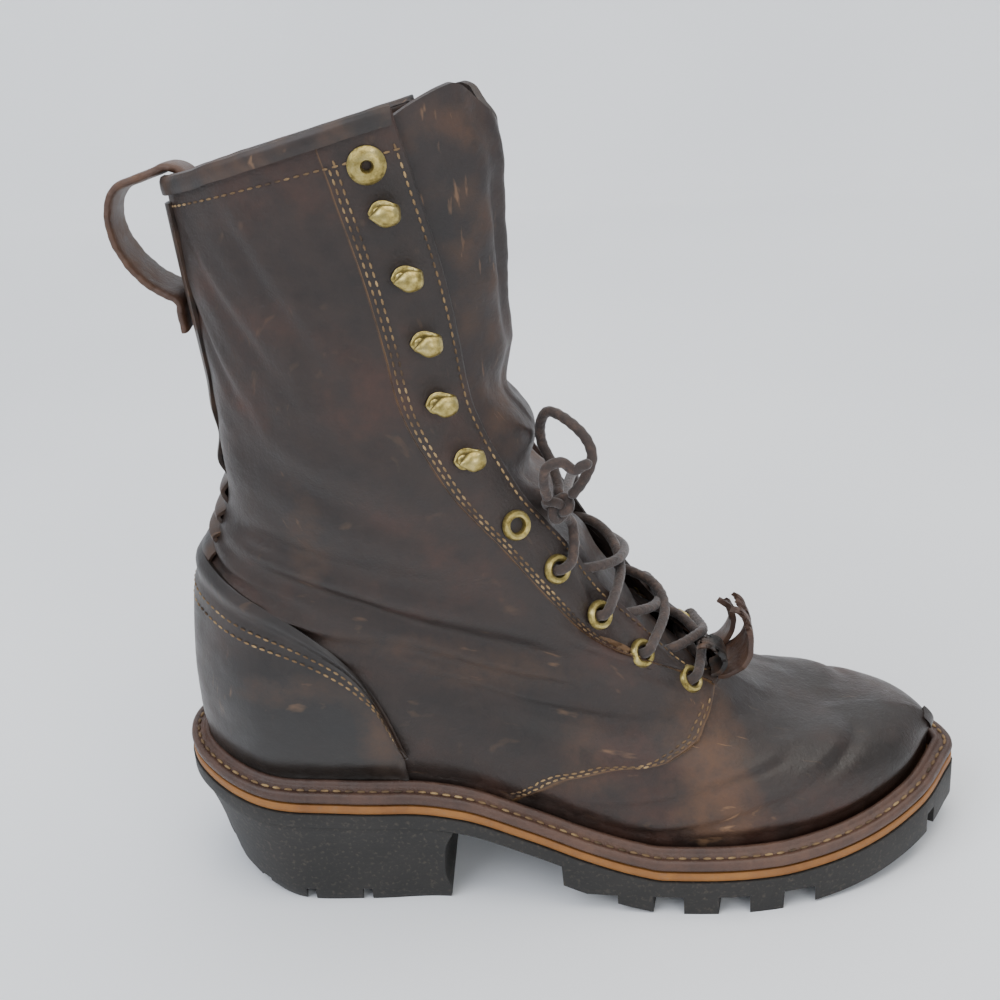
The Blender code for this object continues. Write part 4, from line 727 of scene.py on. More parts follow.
def corners_of(piece):
    """A piece's corners as rows of x, y and z."""
    spots = np.zeros(len(piece.data.vertices) * 3)
    piece.data.vertices.foreach_get("co", spots)
    return spots.reshape(-1, 3)


# %% Upper
BINDING_STEP = 1.3 * MM
half_s = np.unique(np.concatenate([
    np.linspace(0, 1, 132), KEY + np.array([-0.006, -0.003, -0.0012, 0, 0.0016, 0.005]), [0.985, 0.993, 0.998]
]))
UPPER_S = np.concatenate([-half_s[:0:-1], half_s])
UPPER_L = np.unique(np.concatenate([np.linspace(0, 1, 118), VAMP_POINT + np.array([-0.002, 0.001, 0.005])]))


def upper_lift(level, s):
    """Height of the upper's outer face over the last: panels, their edges and a rolled rim."""
    size = np.abs(s)
    beyond = ease((size - KEY) / 0.0016)
    facing = ease((level - VAMP_POINT) / 0.005)
    lift = QUARTER_STEP * (1 - beyond) + beyond * facing * (QUARTER_STEP + FACING_STEP)
    roll = 0.35 * MM * np.exp(-(((size - KEY + 0.004) / 0.006) ** 2)) * (1 - facing)
    rim = ease((size - 0.988) / 0.012) * facing * 0.7 * MM
    return lift + roll - rim


def upper_place(s, level):
    """Point of the upper's outer face, with its creases and soft unevenness."""
    spots = skin(level, place_of(level, s), upper_lift(level, s))
    out = last_normal(level, place_of(level, s))
    bend = waves(spots, 55, 4) * 0.55 * MM * ease((level - 0.05) / 0.1)
    fine = waves(spots, 14, 9) * 0.13 * MM * ease((level - 0.30) / 0.2)
    firm = ease((level - 0.02) / 0.06) * (1 - 0.6 * ease((level - 0.94) / 0.06))
    return spots + out * ((bend + fine + crease_lift(level, s, CREASES)) * firm)[:, None]


def near(spots, middle, size):
    """1 at a middle given in millimetres, fading out over a size."""
    apart = np.linalg.norm((spots / MM - np.array(middle)) / np.array(size), axis=1)
    return np.exp(-(apart**2))


# rubbed patches as share, middle in millimetres and size: first the flex of the toes, then scuffs
PATCHES = [
    (1.00, (196, -38, 50), (13, 30, 26)), (1.00, (196, 40, 50), (13, 30, 26)),
    (0.55, (184, 0, 68), (16, 45, 18)), (0.70, (200, -46, 36), (22, 16, 9)),
    (0.55, (120, -40, 96), (34, 22, 12)), (0.45, (150, -38, 66), (12, 20, 16)),
    (0.45, (80, -42, 108), (26, 20, 8)), (0.50, (60, -36, 150), (10, 20, 30)),
    (0.30, (96, 42, 110), (40, 22, 30)), (0.35, (140, -42, 50), (30, 15, 7)),
]
POLISHED_TOE = (252, -6, 44), (36, 48, 26)
COUNTER_PATCHES = [
    (0.75, (78, -40, 66), (10, 20, 22)), (0.50, (45, -40, 92), (30, 20, 9)), (0.30, (60, 40, 90), (30, 20, 14)),
]


def rubbed(spots, patches):
    """The wear that a list of patches adds up to."""
    return sum(share * near(spots, middle, size) for share, middle, size in patches)


upper = grid_piece("upper_leather", UPPER_S, UPPER_L, upper_place, flip=True)
weld(upper)
thicken(upper, WALL + QUARTER_STEP, use_even_offset=False)
spots = corners_of(upper)
toe = near(spots, *POLISHED_TOE)
set_shares(upper, wear=rubbed(spots, PATCHES) - 0.6 * toe, shine=0.75 * toe)
dress(upper, UPPER_LEATHER, "leather", "upper", angle=50)


# %% [markdown]
# ## The sole's layers
# A welted boot has a leather welt stitched to the upper, a rubber midsole that shows as a tan
# line, and a thick lugged outsole with a separate heel. Each layer is a section led round the
# plan of the sole, so its edge stays smooth, and the lugs are cut with boxes as a mould has them.

# %% Ring of a section round the sole
def ring_piece(name, section, floor_line):
    """A closed section of insets and heights, led round the sole's plan."""
    table = np.array(section + section[:1], float) * MM
    shares = np.arange(len(table)) / (len(table) - 1)

    def place(u, v):
        inset, rise = (np.interp(v, shares, table[:, k]) for k in (0, 1))
        spot = plan(u, inset)
        return np.stack([spot[:, 0], spot[:, 1], floor_line(spot[:, 0]) + rise], -1)

    piece = grid_piece(name, np.linspace(-1, 1, 421), shares, place)
    weld(piece)
    outwards(piece)
    return piece


def rubber(name, base, light, rough, dust):
    """Moulded rubber: matt, with dust in its pores and paler rubbed corners."""
    made, tree, shader, spot = begin(name)
    cloud = add(tree, "TexNoise", {"Vector": spot, "Scale": 45.0, "Detail": 8.0, "Roughness": 0.7})
    tone = add(tree, "ValToRGB", {"Fac": cloud}, [(0.35, base), (0.70, light)])
    grit = add(tree, "TexNoise", {"Vector": spot, "Scale": 700.0, "Detail": 4.0})
    share = add(tree, "MapRange", {0: grit, 1: 0.55, 2: 0.75, 3: 0.0, 4: dust})
    colour = add(tree, "Mix", {0: share, 6: tone, 7: linear("#6e6152")}, data_type="RGBA")
    bump = add(tree, "Bump", {"Height": grit, "Strength": 0.25, "Distance": 0.6 * MM})
    feed(tree, shader, {"Base Color": colour, "Normal": bump, "Roughness": rough})
    return made


BLACK_RUBBER = rubber("black_moulded_rubber", "#171614", "#24211e", 0.62, 0.25)
TAN_RUBBER = rubber("tan_midsole_rubber", "#7a4d22", "#9a672f", 0.6, 0.35)
WELT_LEATHER = leather("welt_leather", "#3a2821", "#4a342a", "#5a4032", grain=0.8)

midsole = ring_piece(
    "midsole_edge",
    [(0.9, 0.05), (0.5, 0.5), (0.4, 1.7), (0.5, 3.0), (0.9, 3.45), (16, 3.45), (16, 0.05)],
    lambda x: sole_line(x) + CLEARANCE,
)
dress(midsole, TAN_RUBBER, "midsole", "midsole")
welt = ring_piece(
    "welt_strip",
    [(1.2, 0.1), (0.5, 0.9), (0.3, 2.2), (0.6, 3.6), (1.3, 4.3), (2.4, 4.5), (2.9, 4.1), (3.6, 4.1),
     (4.1, 4.5), (5.0, 4.6), (5.5, 5.2), (5.9, 6.1), (6.8, 6.5), (7.6, 6.3), (8.0, 5.6), (8.0, 0.1)],
    lambda x: seat_line(x) + 1.5 * CLEARANCE,
)
dress(welt, WELT_LEATHER, "welt", "welt", angle=50)


# %% Outsole and heel
def cut_boxes(piece, boxes):
    """Cuts grooves out of a piece: each box has a middle, a size and a turn about Z."""
    for centre, size, turn in boxes:
        bpy.ops.object.select_all(action="DESELECT")
        bpy.ops.mesh.primitive_cube_add(size=1, location=centre, rotation=(0, 0, turn), scale=size)
        cutter = bpy.context.object
        bpy.ops.object.transform_apply(location=True, rotation=True, scale=True)
        change(piece, "BOOLEAN", object=cutter, operation="DIFFERENCE", solver="EXACT")
        bpy.data.objects.remove(cutter)


def edge_y(x, side, inset=0.0):
    """The sole's edge at a place along it."""
    c = np.linspace(0, side, 900)
    line = plan(c, np.full(c.shape, inset))
    return np.interp(x, line[:, 0], line[:, 1])


TREAD_START, LUG_GROOVE, LUG_DEPTH, EDGE_LUG = 139 * MM, 11 * MM, 7.5 * MM, 27 * MM


def plate_place(u, v):
    """Section of the outsole at a place u along it, v round it from the outer lower corner."""
    x = np.clip(SOLE_LENGTH * u, 0.15 * MM, SOLE_LENGTH - 0.15 * MM)
    deep = np.where(x > TREAD_START, FORE_THICKNESS, PLATE_THICKNESS)
    low = sole_line(x) - deep
    high = sole_line(x)
    side = np.interp(v, [0, 0.25, 0.5, 0.75, 1.0], [-1, 1, 1, -1, -1])
    rise = np.interp(v, [0, 0.25, 0.5, 0.75, 1.0], [0, 0, 1, 1, 0])
    middle, half = (edge_y(x, 1) + edge_y(x, -1)) / 2, (edge_y(x, 1) - edge_y(x, -1)) / 2
    return np.stack([x, middle + half * side, low + (high - low) * rise], -1)


spread = (1 - np.cos(np.pi * np.linspace(0, 1, 121))) / 2
stations = np.unique(np.concatenate([spread, np.array([TREAD_START, TREAD_START + 0.3 * MM]) / SOLE_LENGTH]))
outsole = grid_piece("outsole_rubber", stations, np.linspace(0, 1, 9), plate_place)
weld(outsole)
only(outsole)
bpy.ops.object.mode_set(mode="EDIT")
bpy.ops.mesh.select_all(action="DESELECT")
bpy.ops.mesh.select_non_manifold()
bpy.ops.mesh.edge_face_add()
bpy.ops.object.mode_set(mode="OBJECT")
outwards(outsole)
first, pitch, half = TREAD_START + LUG_GROOVE * 1.45, LUG_GROOVE * 2.15, HEEL_HEIGHT / 2
grooves = []
for side in (-1, 1):
    for i in range(4):
        x = first + i * pitch
        y = float(edge_y(x, side)) - side * (EDGE_LUG / 2 - 3 * MM)
        grooves.append(((x, y, LUG_DEPTH - half), (LUG_GROOVE, EDGE_LUG + 6 * MM, 2 * half), side * 0.16))
    x, y = plan(side * 0.925)
    z = float(sole_line(x)) - FORE_THICKNESS + LUG_DEPTH - half
    grooves.append(((float(x), float(y), z), (EDGE_LUG * 1.2, LUG_GROOVE * 0.5, 2 * half), side * 0.75))
for i in range(4):
    x = first + (i + 0.5) * pitch
    grooves.append(((x, 2 * MM, LUG_DEPTH - half), (LUG_GROOVE * 0.8, EDGE_LUG, 2 * half), 0.0))
cut_boxes(outsole, grooves)
soften(outsole, 0.8 * MM, 40)
dress(outsole, BLACK_RUBBER, "rubber", "outsole", angle=35)

HEEL_LENGTH, BACK_TAPER, SIDE_TAPER, BREAST_INSET = 101 * MM, 14 * MM, 4 * MM, 4 * MM
HEEL_GROOVE, HEEL_GROOVE_DEPTH, HEEL_CORNER = 3.5 * MM, 5.5 * MM, 0.8 * MM
HEEL_ROWS = np.array([
    (0.00, 1.00, 1.00, 1.00), (0.12, 0.72, 0.72, 0.80), (0.40, 0.52, 0.60, 1.30),
    (0.72, 0.28, 0.46, 1.10), (1.00, 0.05, 0.10, 0.20),
])


def heel_place(u, v):
    """The heel block's wall: u runs from the breast round the back and home across the breast."""
    back, side, breast = (between_rows(HEEL_ROWS[:, 0], HEEL_ROWS[:, k], v) for k in (1, 2, 3))
    run = np.interp(u, [0, 0.44, 0.88, 1.0], [1, 0, 1, 1]) ** 1.6
    x = HEEL_LENGTH * run
    forward = 1 - run
    at = x + back * BACK_TAPER * forward**1.5 - breast * BREAST_INSET * run**6
    edge_x = np.maximum(x, side * SIDE_TAPER + 0.2 * MM)
    outer, inner = np.zeros(len(u)), np.zeros(len(u))
    for share in np.unique(side):
        rows = side == share
        outer[rows] = edge_y(edge_x[rows], -1, share * SIDE_TAPER)
        inner[rows] = edge_y(edge_x[rows], 1, share * SIDE_TAPER)
    across = np.interp(u, [0, 0.44, 0.4401, 0.88, 1.0], [0, 0, 1, 1, 0])
    y = outer + (inner - outer) * across
    return np.stack([at, y, (sole_line(x) - PLATE_THICKNESS - CLEARANCE) * v], -1)


heel_u = np.unique(np.concatenate([np.linspace(0, 0.44, 50), [0.4401], np.linspace(0.4401, 0.88, 50), [0.94, 1.0]]))
heel = grid_piece("heel_block", heel_u, np.linspace(0, 1, 15), heel_place)
weld(heel, 0.02 * MM)
close_ends(heel)
grooves = []
for side in (-1, 1):
    for along in (0.27, 0.44, 0.65):
        centre = (along * HEEL_LENGTH, side * HEEL_WIDTH * 0.42, HEEL_GROOVE_DEPTH - half)
        grooves.append((centre, (HEEL_GROOVE, HEEL_WIDTH * 0.32, 2 * half), side * -0.12))
for along in (0.35, 0.54, 0.76):
    centre = (along * HEEL_LENGTH, 0, HEEL_GROOVE_DEPTH - half)
    grooves.append((centre, (HEEL_GROOVE, HEEL_WIDTH * 0.36, 2 * half), 0.0))
cut_boxes(heel, grooves)
soften(heel, HEEL_CORNER, 40)
dress(heel, BLACK_RUBBER, "rubber", "heel", angle=35)

# %% [markdown]
# ## Counter, back stay and collar binding
# The counter is a stiff pocket round the heel, polished nearly black by wear, with a rolled rim
# and two rows of thread. A back stay covers the seam up the back, and a folded strip of leather
# binds the collar. All three lie on the upper's own surface, a hair above it.

# %% Heel counter
COUNTER_FOOT, COUNTER_HEIGHT, COUNTER_LENGTH, COUNTER_LIFT = 0.045, 88 * MM, 84 * MM, 1.6 * MM
COUNTER_EDGE = np.array([(0, 1), (0.3, 0.93), (0.62, 0.76), (0.9, 0.5), (1.0, 0.26), (1.01, 0.02)])


def counter_tops(places):
    """Level of the counter's rim at each place round the heel."""
    levels = np.linspace(COUNTER_FOOT + 0.02, 0.6, 240)
    back = float(last_point(0.1, 0.0)[0])
    tops = []
    for c in places:
        points = last_point(levels, c)
        share = (points[:, 0] - back) / (COUNTER_LENGTH - back)
        edge = between_rows(COUNTER_EDGE[:, 0], COUNTER_EDGE[:, 1], share) * COUNTER_HEIGHT
        inside = (points[:, 2] - seat_line(points[:, 0]) < edge) & (share < 1.005)
        tops.append(levels[inside].max() if inside.any() else COUNTER_FOOT + 0.02)
    return np.array(tops)


reach = np.linspace(0, 0.6, 400)
COUNTER_REACH = float(reach[np.argmax(last_point(0.1, reach)[:, 0] > COUNTER_LENGTH)])
COUNTER_C = np.linspace(-COUNTER_REACH, COUNTER_REACH, 161)
COUNTER_TOPS = counter_tops(COUNTER_C)
COUNTER_TOPS = np.convolve(np.pad(COUNTER_TOPS, 3, "edge"), np.ones(7) / 7, "valid")


def on_counter(share, c, lift=0.0):
    """Point over the counter: share 0 at its foot and 1 at its rim."""
    level = COUNTER_FOOT + share * (np.interp(c, COUNTER_C, COUNTER_TOPS) - COUNTER_FOOT)
    return skin(level, c, QUARTER_STEP + COUNTER_LIFT + lift), last_normal(level, c)


def counter_place(u, v):
    """Point of the counter's face, with a rolled rim and small dents."""
    roll = 0.9 * MM * np.exp(-(((v - 0.955) / 0.030) ** 2)) - 0.5 * MM * np.exp(-(((v - 0.90) / 0.020) ** 2))
    side = np.clip((COUNTER_REACH - np.abs(u)) / COUNTER_REACH, 0, 1)
    roll += 0.7 * MM * np.exp(-(((side - 0.012) / 0.014) ** 2))
    spots, out = on_counter(v, u)
    dents = waves(spots, 40, 21) * 0.35 * MM + waves(spots, 11, 5) * 0.08 * MM
    return spots + out * (roll + dents)[:, None]


counter = grid_piece("counter_leather", COUNTER_C, np.linspace(0, 1, 70), counter_place, flip=True)
thicken(counter, 1.5 * MM)
soften(counter, 0.5 * MM, 50)
spots = corners_of(counter)
polish = ease((78 - spots[:, 2] / MM) / 34) * 0.9 * (0.75 + 0.25 * waves(spots, 30, 3))
set_shares(counter, wear=rubbed(spots, COUNTER_PATCHES), shine=polish)
dress(counter, TRIM_LEATHER, "counter", "heel_counter")


# %% Back stay and collar binding
STAY_LEVELS, STAY_WIDTH, STAY_LIFT, STAY_THICKNESS = (0.435, 0.975), 24 * MM, QUARTER_STEP + 1.7 * MM, 1.4 * MM


def stay_place(u, v):
    """The strip up the back of the shaft, with edges that wander a little."""
    level = STAY_LEVELS[0] + (STAY_LEVELS[1] - STAY_LEVELS[0]) * v
    scale = np.linalg.norm(last_point(level, 0.05) - last_point(level, 0.0), axis=-1) / 0.05
    wide = STAY_WIDTH * (1 + 0.05 * np.sin(v * 9 + 1) + 0.22 * np.exp(-(((v - 0.03) / 0.12) ** 2)))
    c = u * wide / 2 / scale
    spots = skin(level, c, STAY_LIFT + crease_lift(level, c, BACK_CREASES))
    return spots - last_normal(level, c) * (0.5 * MM * np.abs(u) ** 6)[:, None]


BACK_CREASES = [
    (0, [(-0.3, 0.475), (0.0, 0.470), (0.3, 0.476)], 2.6, 1.3),
    (0, [(-0.3, 0.520), (0.0, 0.512), (0.3, 0.522)], 3.0, 1.5),
    (0, [(-0.3, 0.565), (0.0, 0.560), (0.3, 0.562)], 3.2, 1.2),
    (0, [(-0.25, 0.620), (0.0, 0.612), (0.25, 0.618)], 4.0, 0.9),
    (0, [(-0.2, 0.69), (0.0, 0.685), (0.2, 0.69)], 5.0, 0.5),
]
stay = grid_piece("back_stay_leather", np.linspace(-1, 1, 25), np.linspace(0, 1, 120), stay_place, flip=True)
thicken(stay, STAY_THICKNESS)
wear_evenly(stay, 0.5, 0.4, 25, 8)
dress(stay, TRIM_LEATHER, "counter", "back_stay")
FOLD = np.array([(-1, -4.6, 1.55), (-0.75, -2.4, 1.75), (-0.5, -0.3, 1.6), (-0.25, 1.1, 0.9), (0, 1.55, -0.4),
                 (0.3, 1.0, -1.9), (0.6, -0.6, -2.7), (1, -3.6, -2.7)])


def binding_place(u, v):
    """The binding: v goes from its lower edge outside, over the rim and down inside."""
    edge = float(throat_edge(1.0)) * 0.995
    c = np.interp(np.abs(u), [0, 0.5, 1], [0, 0.5 * edge, edge]) * np.sign(u)
    rise = np.interp(v, FOLD[:, 0], FOLD[:, 1]) * MM
    lift = np.interp(v, FOLD[:, 0], FOLD[:, 2]) * MM
    rim = skin(1.0, c, QUARTER_STEP + 0.2 * MM)
    out = last_normal(1.0, c)
    up = unit(last_point(1.0, c) - last_point(0.96, c))
    sag = waves(rim, 22, 6) * 0.35 * MM
    return rim + up * (rise + sag)[:, None] + out * lift[:, None]


binding = grid_piece("collar_binding", np.linspace(-1, 1, 241), np.linspace(-1, 1, 25), binding_place, flip=True)
thicken(binding, 1.1 * MM)
wear_evenly(binding, 0.45, 0.35, 18, 12)
dress(binding, TRIM_LEATHER, "leather")

# %% [markdown]
# ## The tongue
# The tongue is soft leather, gusseted to the throat. It has puffed out between the facings, and
# its front has folded into short bulges where the ankle bends. Its top edge is cut round.

# %% Tongue
TONGUE_THICKNESS, TONGUE_WIDTH, TONGUE_BULGE, TONGUE_CURL = 2.2 * MM, 104 * MM, 2 * MM, 4 * MM
TONGUE_TOP, TONGUE_SIDES, TONGUE_ROUND, TONGUE_FOOT, TONGUE_SHARE = 0.966, 0.034, 0.022, 0.425, 0.55
TONGUE_FOLDS = [
    (0, [(-0.62, 0.545), (0.0, 0.535), (0.62, 0.545)], 3.4, 1.8),
    (0, [(-0.60, 0.640), (-0.1, 0.650), (0.55, 0.636)], 3.2, 2.4),
    (0, [(-0.66, 0.715), (0.0, 0.700), (0.66, 0.712)], 4.0, 2.6),
    (0, [(-0.50, 0.782), (0.0, 0.772), (0.60, 0.790)], 4.6, 1.6),
    (0, [(-0.30, 0.97), (-0.16, 0.88), (-0.10, 0.80)], 5.5, 1.2),
    (0, [(0.25, 0.96), (0.34, 0.86), (0.30, 0.78)], 6.0, 1.3),
]


def tongue_place(u, v):
    """Point of the tongue: u from -1 to 1 across it, v from under the vamp to its top edge."""
    top = TONGUE_TOP + TONGUE_SIDES * ease(np.abs(u) / 0.5) - TONGUE_ROUND * np.abs(u) ** 6
    reach = TONGUE_FOOT + (top - TONGUE_FOOT) * v
    level = np.minimum(reach, 1.0)
    spread = ease((level - 0.44) / 0.30)
    half = TONGUE_WIDTH / 2 * (0.5 + 0.5 * spread)
    tries = np.linspace(TONGUE_FOOT, 1.0, 40)
    lengths = [run_along(last_point(t, np.linspace(1, 0.8, 21)))[-1] for t in tries]
    w = u * half / (np.interp(level, tries, lengths) / 0.2)
    edge = 1 - throat_edge(level)
    free = 1 - ease((np.abs(w) - edge * 0.35) / np.maximum(edge * 0.6, 0.02))
    free = np.where(edge > 0, free, 0) * ease((level - 0.50) / 0.12)
    lift = TONGUE_BULGE * free - WALL - CLEARANCE * (12 - 9 * spread)
    c = np.where(w >= 0, 1, -1) * (1 - np.abs(w))
    narrowed = [
        (side, [(a * TONGUE_SHARE, b) for a, b in line], width, depth) for side, line, width, depth in TONGUE_FOLDS
    ]
    folds = crease_lift(level, u * TONGUE_SHARE, narrowed)
    spots = skin(level, c, lift)
    soft = waves(spots, 16, 31) * 0.3 * MM + waves(spots, 42, 32) * 0.8 * MM
    spots = spots + last_normal(level, c) * ((folds + soft) * free)[:, None]
    rise = skin(np.ones(len(c)), c, lift) - skin(np.full(len(c), 0.97), c, lift)
    spots = spots + rise * ((reach - level) / 0.03)[:, None]
    spots[:, 0] -= TONGUE_CURL * ease((level - 0.94) / 0.06) * free
    return spots


tongue = grid_piece("tongue_leather", np.linspace(-1, 1, 111), np.linspace(0, 1, 170), tongue_place)
thicken(tongue, TONGUE_THICKNESS)
wear_evenly(tongue, 0.25, 0.4, 30, 14)
dress(tongue, SOFT_LEATHER, "tongue", "tongue")

# %% [markdown]
# ## The pull loop and the kiltie
# The pull loop is a strap of worn strap leather, bent over the collar's back edge and sewn down
# outside. The kiltie was once a fringed flap over the laces: only curled scraps of it are left.
# A strap is a line that a flat section follows; the scraps are small sheets rolled one by one.

# %% Pull loop
LOOP_WIDTH, LOOP_THICKNESS, LOOP_REACH, LOOP_HEIGHT = 19 * MM, 3 * MM, 19.5 * MM, 40 * MM
LOOP_PATH = [(0.50, 0.02), (0.80, -0.04), (0.98, -0.20), (0.97, -0.44), (0.74, -0.68), (0.42, -0.85)]


def loop_line():
    """The strap's middle line, from inside the collar over the rim and down the back stay."""
    half = LOOP_THICKNESS / 2
    rim = skin(1.0, 0.0)
    outside = QUARTER_STEP + CLEARANCE * 3 + STAY_THICKNESS + half
    sag = LOOP_WIDTH**2 / (2 * COLLAR_WIDTH)
    lap = (WALL + sag + QUARTER_STEP + FACING_STEP + BINDING_STEP) / 2
    bend = lap + CLEARANCE * 5 + half
    middle = rim + np.array([WALL + sag - lap, 0, CLEARANCE * 3 - bend * 0.45])
    inside = WALL + sag + CLEARANCE * 5 + half
    points = [skin(level, 0.0, -inside) for level in (0.90, 0.94, 0.97)]
    for turn in np.radians((10, 50, 90, 130)):
        points.append(middle + np.array([math.cos(turn), 0, math.sin(turn)]) * bend)
    for reach, rise in LOOP_PATH:
        points.append(rim + np.array([-reach * LOOP_REACH - outside * 0.2, 0, rise * LOOP_HEIGHT]))
    per_level = np.linalg.norm(last_point(1.0, 0.0) - last_point(0.8, 0.0)) / 0.2
    for drop in (0.95, 1.08, 1.22):
        points.append(skin(1 - drop * LOOP_HEIGHT / per_level, 0.0, outside))
    return smooth_line(points, 140), rim


def strap_piece(name, line, rim):
    """The pull loop's strap: a flat section with round, frayed edges."""
    along = unit(np.gradient(line, axis=0))
    close = ease(1 - (rim[2] - line[:, 2]) / (LOOP_HEIGHT * 0.8))
    across = unit(np.stack([np.zeros(len(line)), np.ones(len(line)), -close * COLLAR_TILT / COLLAR_WIDTH], -1))

    def section(u, k, turn):
        flat = np.sign(np.cos(turn)) * np.abs(np.cos(turn)) ** 0.35
        deep = np.sign(np.sin(turn)) * np.abs(np.sin(turn)) ** 0.75
        frayed = 1 + 0.025 * np.sin(u * 90 + np.sign(flat)) + 0.02 * np.sin(u * 211)
        return flat * LOOP_WIDTH / 2 * frayed, deep * LOOP_THICKNESS / 2

    return sweep(name, line, across, np.cross(along, across), section, 20, 0.05 * MM)


STRAP_LEATHER = leather("strap_leather", "#3b2a22", "#4a3327", "#5d4130", grain=1.1)
strap_line, strap_rim = loop_line()
strap = strap_piece("pull_strap", strap_line, strap_rim)
wear_evenly(strap, 0.45, 0.5, 9, 17)
dress(strap, STRAP_LEATHER, "strap", "pull_loop", angle=55)


# %% Kiltie scraps
SCRAP_THICKNESS, SCRAP_BEND = 1.9 * MM, 38 * MM


def scrap(name, x, w, width, length, lift, turns, tilt, seed, nodes=()):
    """A torn scrap of leather that curls up: x ahead, w across, then its size and its curl."""
    levels = np.linspace(0.60, 0.36, 500)
    heights = last_point(levels, 1.0)
    draw = np.random.default_rng(seed)
    teeth = draw.uniform(-1, 1, 9)

    def place(u, v):
        torn = 1 + 0.22 * np.interp(u, np.linspace(-1, 1, 9), teeth) * v + 0.06 * np.sin(u * 31) * v
        run = v * torn
        radius = length / turns / (2 * np.pi)
        angle = run * turns * 2 * np.pi
        forth = radius * np.sin(angle)
        rise = radius * (1 - np.cos(angle)) + 0.12 * run * length
        root = np.array([np.interp(x, heights[:, 0], heights[:, k]) for k in range(3)])
        ahead = np.array([math.cos(tilt), 0, math.sin(tilt)])
        over = np.array([-math.sin(tilt), 0, math.cos(tilt)])
        narrow = 1 - 0.25 * v**2
        side = w + u * width / 2 * narrow + 1.0 * MM * np.sin(v * 4 + seed)
        spots = root + forth[:, None] * ahead + (lift + rise)[:, None] * over
        spots[:, 1] += side
        spots[:, 2] -= (side / SCRAP_BEND) ** 2 * 9 * MM
        return spots + waves(spots, 7, seed)[:, None] * 0.35 * MM

    piece = grid_piece(name, np.linspace(-1, 1, 37), np.linspace(0, 1, 49), place)
    change(piece, "SOLIDIFY", thickness=SCRAP_THICKNESS, offset=0.0)
    soften(piece, 0.4 * MM, 60)
    wear_evenly(piece, 0.35, 0.5, 8, seed + 1)
    return dress(piece, STRAP_LEATHER if seed % 2 else TRIM_LEATHER, "counter", *nodes)


scrap("kiltie_scrap_main", 198 * MM, -3 * MM, 20 * MM, 27 * MM, 2.6 * MM, 0.42, -0.15, 3, ("kiltie",))
scrap("kiltie_scrap_outer", 196 * MM, -11 * MM, 9 * MM, 17 * MM, 2.4 * MM, 0.50, 0.10, 8)
scrap("kiltie_scrap_inner", 197 * MM, 9 * MM, 11 * MM, 20 * MM, 2.4 * MM, 0.36, 0.05, 5)

# %% [markdown]
# ## Brass eyelets and hooks
# An eyelet is a brass ring whose barrel goes through the leather and is rolled over behind. It
# is turned from its half section, as on a lathe. A speed hook is a stamped plate with a round
# knob-like bend that the lace slips behind. Old brass has gone dull, brown in its corners.

# %% Brass and its places
EYELET_INSET, TOP_EYELET_LEVEL = 12.5 * MM, 0.966
EYELET_LEVELS = np.linspace(0.480, 0.664, 5)
HOOK_LEVELS = np.linspace(0.728, 0.930, 5)


def old_brass():
    """Old brass: warm yellow where it is rubbed, brown and dull in its hollows."""
    made, tree, shader, spot = begin("old_stamped_brass")
    cloud = add(tree, "TexNoise", {"Vector": spot, "Scale": 350.0, "Detail": 6.0, "Roughness": 0.7})
    feed(tree, shader, {
        "Base Color": add(tree, "ValToRGB", {"Fac": cloud}, [(0.30, "#6b5c30"), (0.50, "#a8975a"), (0.75, "#cdbd86")]),
        "Roughness": add(tree, "MapRange", {0: cloud, 1: 0.3, 2: 0.7, 3: 0.5, 4: 0.25}),
        "Normal": add(tree, "Bump", {"Height": cloud, "Strength": 0.2, "Distance": 0.4 * MM}),
        "Metallic": 0.9,
    })
    return made


OLD_BRASS = old_brass()


def facing_seat(level, inset, side):
    """A point on the facing's outer face, and its outward and upward directions."""
    c = side * behind_edge(level, inset)
    return Vector(skin(level, c, QUARTER_STEP + FACING_STEP)), Vector(last_normal(level, c))


def spin_profile(name, profile):
    """Turns a half section of radius and height about Z."""
    bpy.ops.object.select_all(action="DESELECT")
    bpy.ops.mesh.primitive_circle_add(vertices=len(profile), radius=1)
    piece = bpy.context.object
    piece.name = piece.data.name = name
    for corner, (radius, height) in zip(piece.data.vertices, profile):
        corner.co = (radius * MM, 0, height * MM)
    bpy.ops.object.mode_set(mode="EDIT")
    bpy.ops.mesh.select_all(action="SELECT")
    bpy.ops.mesh.spin(steps=36, angle=2 * math.pi, center=(0, 0, 0), axis=(0, 0, 1))
    bpy.ops.mesh.select_all(action="SELECT")
    bpy.ops.mesh.remove_doubles(threshold=0.02 * MM)
    bpy.ops.mesh.normals_make_consistent(inside=False)
    bpy.ops.object.mode_set(mode="OBJECT")
    return piece


def copy_to(model, name, seat, normal, turned=False):
    """A copy with its own mesh, moved so that its Z stands out of the surface."""
    z = normal.normalized()
    x = Vector((0, 0, 1)).cross(z).normalized()
    turn = Matrix((x, z.cross(x), z)).transposed()
    if turned:
        turn = turn @ Matrix.Rotation(math.pi, 3, "Z")
    piece = bpy.data.objects.new(name, model.data.copy())
    bpy.context.scene.collection.objects.link(piece)
    piece.data.transform(Matrix.Translation(seat) @ turn.to_4x4())
    return piece


